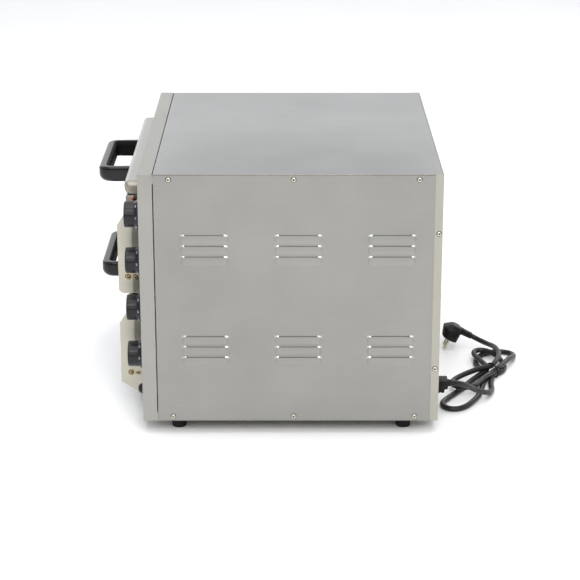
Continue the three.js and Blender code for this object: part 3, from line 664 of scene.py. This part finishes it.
def plug_body():
    """Moulded body: an oval stub with flats, its top sloping into a flat ribbed boot."""
    bm = bmesh.new()
    oval = []
    for i in range(40):
        c, s = math.cos(2 * math.pi * i / 40), math.sin(2 * math.pi * i / 40)
        x = PLUG_HALF[0] * math.copysign(abs(c) ** 0.8, c)
        y = PLUG_HALF[1] * math.copysign(abs(s) ** 0.62, s)
        oval.append((x, y))
    add_rings(bm, [[(kx * x, ky * y + shift, z) for x, y in oval] for z, kx, ky, shift in PLUG_LAYERS])
    boot = []
    for i in range(29):
        taper = i / 28
        y = BOOT_START + BOOT_LENGTH * taper
        rib = 0.45 if y > 17 and (i % 4) < 2 else 0
        half_w, half_h = 8.6 - 2.1 * taper - rib, 5.9 - 0.7 * taper - rib
        section = rounded_rect(half_w, half_h, [min(half_w, half_h) * 0.72] * 4, 4)
        boot.append([Vector((w, y, BOOT_Z + h)) for w, h in section])
    boot.append([Vector((p.x * 0.86, p.y + 0.6, BOOT_Z + (p.z - BOOT_Z) * 0.86)) for p in boot[-1]])
    add_rings(bm, boot)
    bmesh.ops.transform(bm, matrix=plug_place(), verts=bm.verts)
    return piece("plug_body", bm, "plug", "oven", ["plug"], smooth=32)


def plug_pins():
    """Two round pins with domed tips and a step where the plating ends."""
    profile = [
        (0, -19), (1.3, -18.8), (2.1, -18.1), (2.4, -17), (2.4, -1.2), (2.9, -1), (2.9, 0.6), (0, 0.6),
    ]
    bm = bmesh.new()
    for side in (-1, 1):
        add_turned(bm, profile, (side * 9.5, 0, 0), "z", 20)
    bmesh.ops.transform(bm, matrix=plug_place(), verts=bm.verts)
    return piece("plug_pins", bm, "pin", "oven")


def earth_clips():
    """The two spring contacts on the body's flat sides."""
    bm = bmesh.new()
    for side in (-1, 1):
        add_block(bm, (-2, side * 14.6 - 0.45, 3), (2, side * 14.6 + 0.45, 13))
    bevel_all(bm, 0.3, 2)
    bmesh.ops.transform(bm, matrix=plug_place(), verts=bm.verts)
    return piece("plug_earth_clips", bm, "pin", "oven")


def mains_cord():
    """The cord in place of its CAD solids, with the pieces that are on it."""
    line = cord_line()
    flex = round_wire("mains_flex", line, CORD_R, "cord", "oven",
                      ["mains_cord", "cord_lead", "cord_hank"], 6)
    on_it = [cable_gland(), cord_tie(), plug_body(), plug_pins(), earth_clips()]


# ---------------------------------------------------------------- casing
LOUVRE_Y = (99, 242, 384)
LOUVRE_TOPS = (139.5, 302)  # highest slit of each group
LOUVRE_PITCH = 17
LOUVRE_RISE = 14.5  # from a louvre's foot up to its slit
LOUVRE_PROUD = 1.5
SLIT_HALF, LOUVRE_END = 30.0, 6.0  # half the slit, and the pressed end beyond it
SHOULDER = 1.5  # how far above the slit the ends come back to the sheet
END_DROP = 2.6  # how far the ends of a louvre's crest come down
FOLD_R, FOLD_DEEP = 1.1, 9.0  # the sheet's folded edges: their bend, and how far they go in
REAR_LAP = 0.15  # how far the sheet's rear edge reaches into the gap before the rear cover
JOINT_TALL = 1.5  # the open joint between the side sheets and the cover
JOINT_ON = 9  # how far that joint runs on over the rear cover's edge
FLAT, LOUVRE, SLIT, OVER = range(4)  # kinds of row: plain, on a louvre, at its slit, above it
# the second material is painted shade on the cut edges, the third a painted glint on the louvres' ends
EDGE_SHADE_SLOT, GLINT_SLOT = 1, 2  # the side sheet's second and third material


def louvre_height(away, t):
    """How far a louvre stands out, away from its middle and t up from its foot."""
    along = min(1.0, max(0.0, away - SLIT_HALF) / LOUVRE_END)
    foot = LOUVRE_END * (1 - math.sqrt(1 - along * along)) / LOUVRE_RISE
    rise = max(0.0, (t - foot) / (1 - foot))
    return LOUVRE_PROUD * (1 - along * along) ** 0.55 * (1 - (1 - rise) ** 4)


def lowered(away, kind, share):
    """How far down a point of a louvre's end is pulled, towards its rounded corner."""
    if away is None or kind == FLAT or away <= SLIT_HALF:
        return 0.0
    along = min(1.0, (away - SLIT_HALF) / LOUVRE_END)
    return END_DROP * along * along * share


def panel_columns():
    """(inset, y, distance from a louvre's middle, whether over the slit) of each column."""
    front, rear = PANEL_LOW.y, PANEL_HIGH.y
    turn = [math.radians(a) for a in (0, 30, 60, 90)]
    fold = [(FOLD_DEEP, 0.0)]
    fold += [(FOLD_R * (1 - math.sin(a)), FOLD_R * (1 - math.cos(a))) for a in turn]
    columns = [(inset, front + back, None, False) for inset, back in fold]
    for middle in LOUVRE_Y:
        ends = [SLIT_HALF + LOUVRE_END * math.sin(math.pi / 2 * i / 7) for i in range(8)]
        columns += [(0, middle - a, a, False) for a in ends[::-1]]
        columns += [(0, middle + a, abs(a), True) for a in (-SLIT_HALF, -15, 0, 15, SLIT_HALF)]
        columns += [(0, middle + a, a, False) for a in ends]
    return columns + [(inset, rear + REAR_LAP, None, False) for inset in (0, FOLD_DEEP)]


def panel_rows():
    """(z, kind, share of the way up its louvre) of each row."""
    rows = [(PANEL_LOW.z, FLAT, 0)]
    for group in LOUVRE_TOPS:
        for k in (2, 1, 0):
            top = group - k * LOUVRE_PITCH
            rows += [(top - LOUVRE_RISE * (1 - i / 9), LOUVRE, i / 9) for i in range(10)]
            rows += [(top, SLIT, 1), (top + SHOULDER * 0.5, OVER, 0.42), (top + SHOULDER, FLAT, 0)]
    return rows + [(PANEL_HIGH.z - JOINT_TALL, FLAT, 0)]


def stands_out(away, over_slit, kind, share):
    """How far a point of the sheet is pressed out."""
    if away is None or kind == FLAT:
        return 0.0
    if kind == LOUVRE:
        return louvre_height(away, share)
    return 0.0 if over_slit else share * louvre_height(away, 1)


def side_panel(side, name):
    """One sheet: louvres pressed out of it, and its front and rear edges folded in."""
    bm = bmesh.new()
    columns, rows = panel_columns(), panel_rows()
    grid = []
    for z, kind, share in rows:
        line = []
        for inset, y, away, over in columns:
            out = stands_out(away, over, kind, share) - inset
            line.append(bm.verts.new((side * (HALF + out), y, z - lowered(away, kind, share))))
        grid.append(line)
    for low, high, (_, kind, share) in zip(grid, grid[1:], rows):
        if kind == LOUVRE and share == 1:
            continue
        for i in range(len(columns) - 1):
            corners = (low[i], low[i + 1], high[i + 1], high[i])
            face = bm.faces.new(corners if side > 0 else corners[::-1])
            over = columns[i][3] or columns[i + 1][3]
            louvred = None not in (columns[i][2], columns[i + 1][2])
            narrow = columns[i + 1][1] - columns[i][1] < LOUVRE_END / 2
            # the louvres' ends beside the slit take the lighter steel, a painted glint
            if kind in (SLIT, OVER) and louvred and narrow and not over:
                face.material_index = GLINT_SLOT
    bmesh.ops.remove_doubles(bm, verts=bm.verts, dist=0.004)
    bmesh.ops.dissolve_degenerate(bm, dist=0.003, edges=bm.edges)
    sheet = piece(f"side_sheet_{name}", bm, "side", "oven", [f"side_panel_{name}"],
                  solid=SHEET, smooth=30, outward=False, more=["edge", "louvre_glint"])
    # the sheet's thickened edges take the darker steel: painted shade in the slits
    sheet.modifiers["sheet"].material_offset_rim = EDGE_SHADE_SLOT
    weighted = sheet.modifiers.new("flat_fields", "WEIGHTED_NORMAL")
    weighted.weight, weighted.keep_sharp = 100, True


def top_sheet():
    """The cover, its edges folded down, and a strip painted dark as the shadow in the open joint between it
    and each side sheet.
    """
    bm = bmesh.new()
    add_block(bm, TOP_LOW, TOP_HIGH)
    bottom = [f for f in bm.faces if f.normal.z < -0.5]
    bmesh.ops.delete(bm, geom=bottom, context="FACES")
    bevel_all(bm, 0.6, 2)
    piece("top_sheet", bm, "top", "oven", ["top_cover"], solid=SHEET, outward=False)
    for side, name in SIDES:
        bm = bmesh.new()
        x = inside_face(side, side * HALF, 1.0, 0.25)
        top = TALL - 0.2
        add_block(bm, (x[0], PANEL_LOW.y, top - JOINT_TALL), (x[1], PANEL_HIGH.y + JOINT_ON, top))
        bevel_all(bm, 0.2, 1)
        piece(f"cover_joint_shadow_{name}", bm, "joint", "oven")


CROSS_HALF, CROSS_DEEP = 0.15, 0.8  # shares of a screw head's radius and height


def screw_head(bm, centre, axis, way, radius, tall):
    """A pan head with a cross recess painted dark as shade (material 1), facing way along the axis."""
    segments, rings = 40, 12
    made = []
    for j in range(rings + 1):
        share = 1 - j / rings
        ring = []
        for i in range(segments):
            a = 2 * math.pi * i / segments
            r = radius * max(share, 0.01)
            up = tall * math.sqrt(max(0.0, 1 - share ** 4)) + 0.05
            u, v = r * math.cos(a), r * math.sin(a)
            if min(abs(u), abs(v)) < radius * CROSS_HALF and share < 0.6:
                up -= tall * CROSS_DEEP * (1 - (share / 0.62) ** 3)
            ring.append(Vector(AXES[axis](r, a, way * up * (j > 0))) + Vector(centre))
        made.append(ring)
    before = set(bm.faces)
    add_rings(bm, made)
    middle = Vector(centre)
    for face in set(bm.faces) - before:
        away = face.calc_center_median() - middle
        across = [abs(away[k]) for k in range(3) if k != "xyz".index(axis)]
        if max(across) < radius * 0.56 and min(across) < radius * (CROSS_HALF + 0.01):
            face.material_index = 1


def screw_row(name, spots, axis, way, radius, tall, paint, washer=None):
    """Pan heads on the spots, each over a thin disc painted dark as the shadow under its head, and
    on a plated washer of a radius if washer gives one."""
    k = "xyz".index(axis)
    bm = bmesh.new()
    for spot in spots:
        base = Vector(spot)
        if washer:
            edge = [(washer, 0), (washer + 0.2, way * 0.3), (washer, way * 0.9), (washer - 1, way)]
            add_turned(bm, [(0, 0), *edge, (0, way)], base, axis, 36)
            base[k] += way
        before = set(bm.faces)
        under = radius * (1.3 if washer else 1.17)
        add_turned(bm, [(0, 0), (under, 0), (under, way * 0.3), (0, way * 0.3)], base, axis, 36)
        for face in set(bm.faces) - before:
            face.material_index = 1
        base[k] += way * 0.3
        screw_head(bm, base, axis, way, radius, tall)
    piece(name, bm, paint, "oven", smooth=45, more=["recess_shade"])


SCREW_R, SCREW_TALL = 3.6, 2.0
SIDE_SCREWS = [(y, z) for z in (389.5, 7.1) for y in (46.8, 234.7, 423.4)]
REAR_FLANGE_SCREWS = [(454.5, 304.9), (453.4, 86.4)]
REAR_SCREWS = [(x, z) for z in (385, 12) for x in (-240, 0, 240)] + [(-262, 200), (262, 200)]


def casing_screws():
    """The screws in both sides and the rear cover, one piece for each face."""
    for side, name in SIDES:
        spots = [(side * HALF, y, z) for y, z in SIDE_SCREWS + REAR_FLANGE_SCREWS]
        screw_row(f"casing_screws_{name}", spots, "x", side, SCREW_R, SCREW_TALL, "screw")
    spots = [(x, BACK, z) for x, z in REAR_SCREWS]
    screw_row("casing_screws_rear", spots, "y", 1, SCREW_R, SCREW_TALL, "screw")


def seam_tabs():
    """The short tab that bridges the open seam at the top of each side."""
    for side, name in SIDES:
        bm = bmesh.new()
        x = inside_face(side, side * HALF, 1.6, 0.25)
        add_block(bm, (x[0], 21.2, TALL - 14), (x[1], 24.4, TALL - 0.6))
        bevel_all(bm, 0.3, 2)
        piece(f"seam_tab_{name}", bm, "fascia", "oven")


def feet():
    """Moulded rubber feet: a flared collar, a tapered stub, a ring round the sole, a screw well."""
    for row in ("front", "rear"):
        for side in ("left", "right"):
            node = f"foot_{row}_{side}"
            low, high = node_box(node)
            x, y, r = (low.x + high.x) / 2, (low.y + high.y) / 2, (high.x - low.x) / 2
            collar = [(0, high.z), (r, high.z), (r, high.z - 2.2), (r - 0.7, high.z - 3)]
            stub = [(r - 1.6, low.z + 3), (r - 1.5, low.z + 1.4), (r - 2.2, low.z + 0.1), (r - 4.6, low.z)]
            well = [(r - 5.4, low.z + 1), (4, low.z + 1.2), (3.4, low.z + 6), (0, low.z + 6)]
            profile = collar + stub + well
            bm = bmesh.new()
            add_turned(bm, profile, (x, y, 0), "z", 40)
            piece(f"foot_{row}_{side}_pad", bm, "rubber", "oven", [node], smooth=40)


def casing():
    for side, name in SIDES:
        side_panel(side, name)
    top_sheet()
    dress(["front_fascia"], "fascia", 0.45)
    dress(["rear_cover"], "rear", 0.45)
    dress(["base_pan"], "rear", 0.3)
    casing_screws()
    seam_tabs()
    feet()


# ---------------------------------------------------------------- chambers
ROD_RUNS = 6
ROD_END = 55  # from the outside of the last bend on the right to the rod's end


def bent_rod(deck, which):
    """A tubular element: in at the front of the right wall, six runs across, out at the rear."""
    name = f"element_{deck}_{which}"
    low, high = node_box(name)
    radius = (high.z - low.z) / 2
    level = (high.z + low.z) / 2
    bend = (high.y - low.y - 2 * radius) / (2 * ROD_RUNS - 2)
    left, end = low.x + bend + radius, high.x
    right = end - bend - ROD_END
    line = [(end, low.y + radius, level)]
    for turn in range(ROD_RUNS - 1):
        side, x = (1, right) if turn % 2 else (-1, left)
        for i in range(13):
            a = math.pi * i / 12
            y = low.y + radius + 2 * bend * turn + bend * (1 - math.cos(a))
            line.append((x + side * bend * math.sin(a), y, level))
    line.append((end, high.y - radius, level))
    round_wire(f"{name}_rod", line, radius, "element", "oven", [name], 4)


def chambers():
    """Chambers with their elements and stones, and what lies round them inside the casing."""
    for deck in DECKS:
        dress([f"chamber_{deck}"], "zinc", 0.35)
        for which in ("bottom", "top"):
            bent_rod(deck, which)
        low, high = node_box(f"stone_{deck}")
        bm = bmesh.new()
        add_block(bm, low, high)
        bevel_all(bm, 2.2, 3)
        piece(f"stone_{deck}_slab", bm, "stone", "oven", [f"stone_{deck}"])
    dress(["insulation_middle", "insulation_top"], "wool", 2.0)
    dress(["heat_shield"] + [f"thermostat_{i}" for i in KNOBS], "zinc")
    dress(["safety_cut_out", "terminal_block"], "ceramic", 0.5)


# ---------------------------------------------------------------- doors
RIM_TALL = 23
RIM_PROUD = 2.1  # how far the rim stands before the pan
RIM_DOME = 11.0  # how long the rim's rounded ends are
DOOR_SKIN = 1.2


def door_shell(deck):
    """The door's pan: front, ends and bottom folded from one sheet, open at the back."""
    low, high = node_box(f"door_{deck}_shell")
    front = low.y + RIM_PROUD
    bm = bmesh.new()
    add_block(bm, (low.x, front, low.z), (high.x, high.y, high.z - RIM_TALL + 1))
    bmesh.ops.delete(bm, geom=[f for f in bm.faces if f.normal.y > 0.5], context="FACES")
    bevel_all(bm, 1.6, 3)
    bm.normal_update()
    # the pan's ends, facing across, take the darker steel as painted shade
    for face in bm.faces:
        face.material_index = int(abs(face.normal.x) > 0.9)
    piece(f"door_{deck}_pan", bm, "door", f"door_{deck}", [f"door_{deck}_shell"],
          solid=DOOR_SKIN, outward=False, more=["painted_shade"])


def door_rim(deck):
    """The rounded rim along the door's top, domed at both ends."""
    low, high = node_box(f"door_{deck}_shell")
    half_d, half_h = (high.y - low.y) / 2, RIM_TALL / 2
    mid_y, mid_z = (high.y + low.y) / 2, high.z - half_h
    section = rounded_rect(half_d, half_h, (6, 6, 11.5, 6), 6)
    steps = [math.pi / 2 * i / 8 for i in range(9)]
    rings = []
    for side, end, order in ((-1, low.x, steps[::-1]), (1, high.x, steps)):
        for a in order:
            shrink = 1 - (1 - math.cos(a)) * 0.6
            x = end - side * RIM_DOME * (1 - math.sin(a))
            rings.append([Vector((x, mid_y + d * shrink, mid_z + h * shrink)) for d, h in section])
    bm = bmesh.new()
    add_rings(bm, rings)
    bm.normal_update()
    # the domed ends take the darker copy of the steel, painted shade
    for face in bm.faces:
        x = face.calc_center_median().x
        face.material_index = int(x > high.x - RIM_DOME or x < low.x + RIM_DOME)
    piece(f"door_{deck}_rim", bm, "rim", f"door_{deck}", smooth=45, more=["rim_dome_shade"])


def door_liner(deck):
    """The inner plate, with a raised field pressed into it."""
    low, high = node_box(f"door_{deck}_liner")
    bm = bmesh.new()
    add_block(bm, low, high)
    back = [f for f in bm.faces if f.normal.y > 0.5]
    bmesh.ops.inset_region(bm, faces=back, thickness=22)
    bmesh.ops.inset_region(bm, faces=back, thickness=3, depth=0.9)
    bevel_all(bm, 0.4, 2, 12)
    piece(f"door_{deck}_inner", bm, "zinc", f"door_{deck}", [f"door_{deck}_liner"])


BOW_HALF, BOW_BEND = 8.5, 11.5  # half the bow's width, and the radius of its two bends
ROOT_FLARE, ROOT_TALLER = 1.12, 0.03  # how much wider and taller the legs are at the door
INNER_CORNERS = slice(8, 21)  # the section's points on the bow's inner side


def bow_path(left, right, bar, root):
    """(x, y, heading) along a bow: up one leg, round two bends and back down the other leg."""
    path = [(left, root, 0.0)]
    for x, start in ((left + BOW_BEND, 0), (right - BOW_BEND, 90)):
        for i in range(10):
            a = math.radians(start + 90 * i / 9)
            path.append((x - BOW_BEND * math.cos(a), bar + BOW_BEND * (1 - math.sin(a)), a))
    return [*path, (right, root, math.pi)]


def door_handle(deck):
    """A bow of black bakelite: two legs and a bar in one rounded sweep, polished but for its inside."""
    low, high = node_box(f"door_{deck}_handle")
    level, half_tall = (high.z + low.z) / 2, (high.z - low.z) / 2
    bar, root = low.y + BOW_HALF, high.y - 0.2
    path = bow_path(low.x + BOW_HALF, high.x - BOW_HALF, bar, root)
    section = rounded_rect(BOW_HALF, half_tall, (5.0, 7.5, 4.5, 12.0), 6)
    rings = []
    for k, (x, y, a) in enumerate(path):
        out = Vector((-math.cos(a), -math.sin(a), 0))
        wider = ROOT_FLARE if k in (0, len(path) - 1) else 1.0
        taller = 1 + ROOT_TALLER * (max(0.0, y - bar) / (root - bar)) ** 1.5
        middle = Vector((x, y, level))
        rings.append([middle + out * (w * wider) + Vector((0, 0, h * taller)) for w, h in section])
    # the flare dies out over the first eighth of each leg
    for end, inner, place in ((0, 1, 1), (-1, -2, -1)):
        x = path[end][0]
        blend = [a.lerp(b, 0.12) for a, b in zip(rings[end], rings[inner])]
        rings.insert(place, [Vector((x + (p.x - x) / 1.1, p.y, p.z)) for p in blend])
    bm = bmesh.new()
    made = add_rings(bm, rings)
    inner = {v for ring in made for v in ring[INNER_CORNERS]}
    for face in bm.faces:
        face.material_index = int(all(v in inner for v in face.verts))
    piece(f"door_{deck}_bow", bm, "bakelite", f"door_{deck}",
          [f"door_{deck}_handle"], smooth=60, more=["bakelite_matt"])


def doors():
    for deck in DECKS:
        door_shell(deck)
        door_rim(deck)
        door_liner(deck)
        door_handle(deck)
        dress([f"door_{deck}_insulation"], "wool", 2.0)
        dress([f"door_{deck}_handle_screw_{i}" for i in (1, 2)], "screw")


BRACKET_SCREWS = {"upper": [(-26.6, 204.1), (-15.1, 203.4)], "lower": [(-25.8, 42.4), (-14.3, 41.1)]}
STEP_Y, STEP_DEEP = -18.5, 1.6  # behind this y, the bracket's face lies this much further in
SHADE_STRIP_Y = (-17.6, -0.6)  # the strip of a bracket beside the fascia, painted darker as shade


def brackets():
    """Hinge plates with their pins, and two plated screws with washers on each plate."""
    for deck in DECKS:
        for side, name in SIDES:
            dress([f"hinge_bracket_{deck}_{name}"], "bracket", 0.5)
            dress([f"hinge_pin_{deck}_{name}"], "screw", 0.3)
            low, high = node_box(f"hinge_bracket_{deck}_{name}")
            face = high.x if side > 0 else low.x
            # a thin strip of the darker steel over each bracket beside the fascia: painted shade
            bm = bmesh.new()
            x = inside_face(side, face, 1.7, 1.35)
            web_low = low.z + 20 if deck == "lower" else low.z + 1
            add_block(bm, (x[0], SHADE_STRIP_Y[0], web_low), (x[1], SHADE_STRIP_Y[1], high.z - 1))
            bevel_all(bm, 0.12, 1)
            piece(f"bracket_web_{deck}_{name}", bm, "painted_shade", "oven")
            spots = []
            for y, z in BRACKET_SCREWS[deck]:
                inset = 0 if y < STEP_Y else STEP_DEEP
                spots.append((face - side * inset, y, z))
            screw_row(f"bracket_screws_{deck}_{name}", spots, "x", side, 3.5, 2.0, "brass", 5.7)


# ---------------------------------------------------------------- controls
DIAL_MARKS = ("0", "50", "100", "150", "200", "250", "300")
DIAL_SWEEP, DIAL_START = 300, -60  # degrees
FLUTES, FLUTE_DEEP = 36, 0.28
GRIP_PROFILE = [
    (0, -23.6), (14, -23.6), (16.8, -23.8), (17.2, -24.7), (18.2, -25), (19.2, -24.8), (19.8, -24.2),
    (20, -23.2), (20.1, -16), (20.3, -10.5), (20.4, -8.8), (0, -8.8),
]
SLOPE_TOP, SLOPE_FOOT = (20.6, -8.7), (22.7, -4.4)  # ends of the skirt's sloping face
SKIRT_PROFILE = [
    (0, -9), (19.6, -9), SLOPE_TOP, SLOPE_FOOT, (23, -3.8), (23, -2.3), (22.6, -2), (0, -2),
]


def fluted(r, a, t):
    """The grip's radius, with shallow flutes down its wall."""
    if r <= 19.2 or t <= -23.5:
        return r
    return r - FLUTE_DEEP * (0.5 + 0.5 * math.cos(FLUTES * a))


def knob(index):
    """A satin knob with shallow flutes and a pointer line, over a glossy skirt."""
    body = f"knob_{index}"
    x, z, _ = front_middle(body)
    bm = bmesh.new()
    add_turned(bm, GRIP_PROFILE, (x, 0, z), "y", 144, fluted)
    add_block(bm, (x - 1.1, -25.1, z + 6), (x + 1.1, -23.4, z + 16.5))
    piece(f"knob_{index}_grip", bm, "knob", body, [body], smooth=40)
    bm = bmesh.new()
    add_turned(bm, SKIRT_PROFILE, (x, 0, z), "y", 96)
    piece(f"knob_{index}_skirt", bm, "skirt", body, smooth=40)
    dial_marks(index, x, z, body)


def dial_marks(index, x, z, body):
    """Plain numbers printed round the skirt's sloping face."""
    bm = bmesh.new()
    slope = math.atan2(SLOPE_FOOT[0] - SLOPE_TOP[0], SLOPE_FOOT[1] - SLOPE_TOP[1])
    up = Matrix.Rotation(math.pi / 2, 4, "X")
    lean = Matrix.Rotation(slope - math.pi / 2, 4, "X")
    seat = Matrix.Translation((0, -6.4, 21.85))
    for k, text in enumerate(DIAL_MARKS):
        data = bpy.data.curves.new(f"mark_{index}_{k}", "FONT")
        data.body, data.size, data.align_x, data.align_y = text, 3.0, "CENTER", "CENTER"
        glyph = bpy.data.objects.new(data.name, data)
        bpy.context.scene.collection.objects.link(glyph)
        mesh = bpy.data.meshes.new_from_object(glyph)
        turn = math.radians(k * DIAL_SWEEP / (len(DIAL_MARKS) - 1) + DIAL_START)
        mesh.transform(Matrix.Translation((x, 0, z)) @ Matrix.Rotation(turn, 4, "Y") @ seat @ lean @ up)
        bm.from_mesh(mesh)
        bpy.data.objects.remove(glyph)
        bpy.data.curves.remove(data)
        bpy.data.meshes.remove(mesh)
    piece(f"knob_{index}_numbers", bm, "marking", body, solid=0.12, outward=False)


def pilot_lamp(deck):
    """An orange lens with a faceted tip in a black bezel."""
    x, z, tip = front_middle(f"pilot_lamp_{deck}")
    bm = bmesh.new()
    dome = [(0, tip), (1.5, tip + 0.2), (2.7, tip + 1), (3.4, tip + 2.4), (3.7, tip + 4.5)]
    add_turned(bm, [*dome, (3.8, tip + 7), (0, tip + 7)], (x, 0, z), "y", 32)
    piece(f"pilot_lens_{deck}", bm, "lens", "oven", [f"pilot_lamp_{deck}"])
    bm = bmesh.new()
    rim = tip + 5.6
    lip = [(0, rim + 0.6), (3.9, rim + 0.6), (4.1, rim), (4.7, rim), (4.95, rim + 0.5)]
    add_turned(bm, [*lip, (5, -2.2), (6.1, -1.8), (6.3, -0.2), (0, -0.2)], (x, 0, z), "y", 32)
    piece(f"pilot_bezel_{deck}", bm, "knob", "oven")


def six_sided(r, a, t):
    """A nut's outline, which leaves the round field in its middle alone."""
    if r <= 8:
        return r
    return r / max(math.cos((a % (math.pi / 3)) - math.pi / 6), 0.5) * 0.92


def reset_button():
    """A domed black cap that goes in through a plated nut."""
    x, z, tip = front_middle("reset_button")
    dome = [(0, tip), (2.4, tip + 0.2), (4.6, tip + 0.9), (6.3, tip + 2.1), (7.4, tip + 3.8), (8.1, tip + 6)]
    stem = [(8.3, -3.4), (8.1, -2.8), (5, -2.8), (5, 3), (0, 3)]
    bm = bmesh.new()
    add_turned(bm, dome + stem, (x, 0, z), "y", 36)
    piece("reset_cap", bm, "knob", "reset_button", ["reset_button"])
    bm = bmesh.new()
    nut = [(0, -0.1), (10, -0.1), (10, -1.6), (9.4, -2.1), (6, -2.1), (0, -2.1)]
    add_turned(bm, nut, (x, 0, z), "y", 48, six_sided)
    piece("reset_nut", bm, "screw", "oven")


def controls():
    for index in KNOBS:
        knob(index)
    for deck in DECKS:
        pilot_lamp(deck)
    reset_button()


camera()
studio()
floor()
mains_cord()
casing()
chambers()
doors()
brackets()
controls()
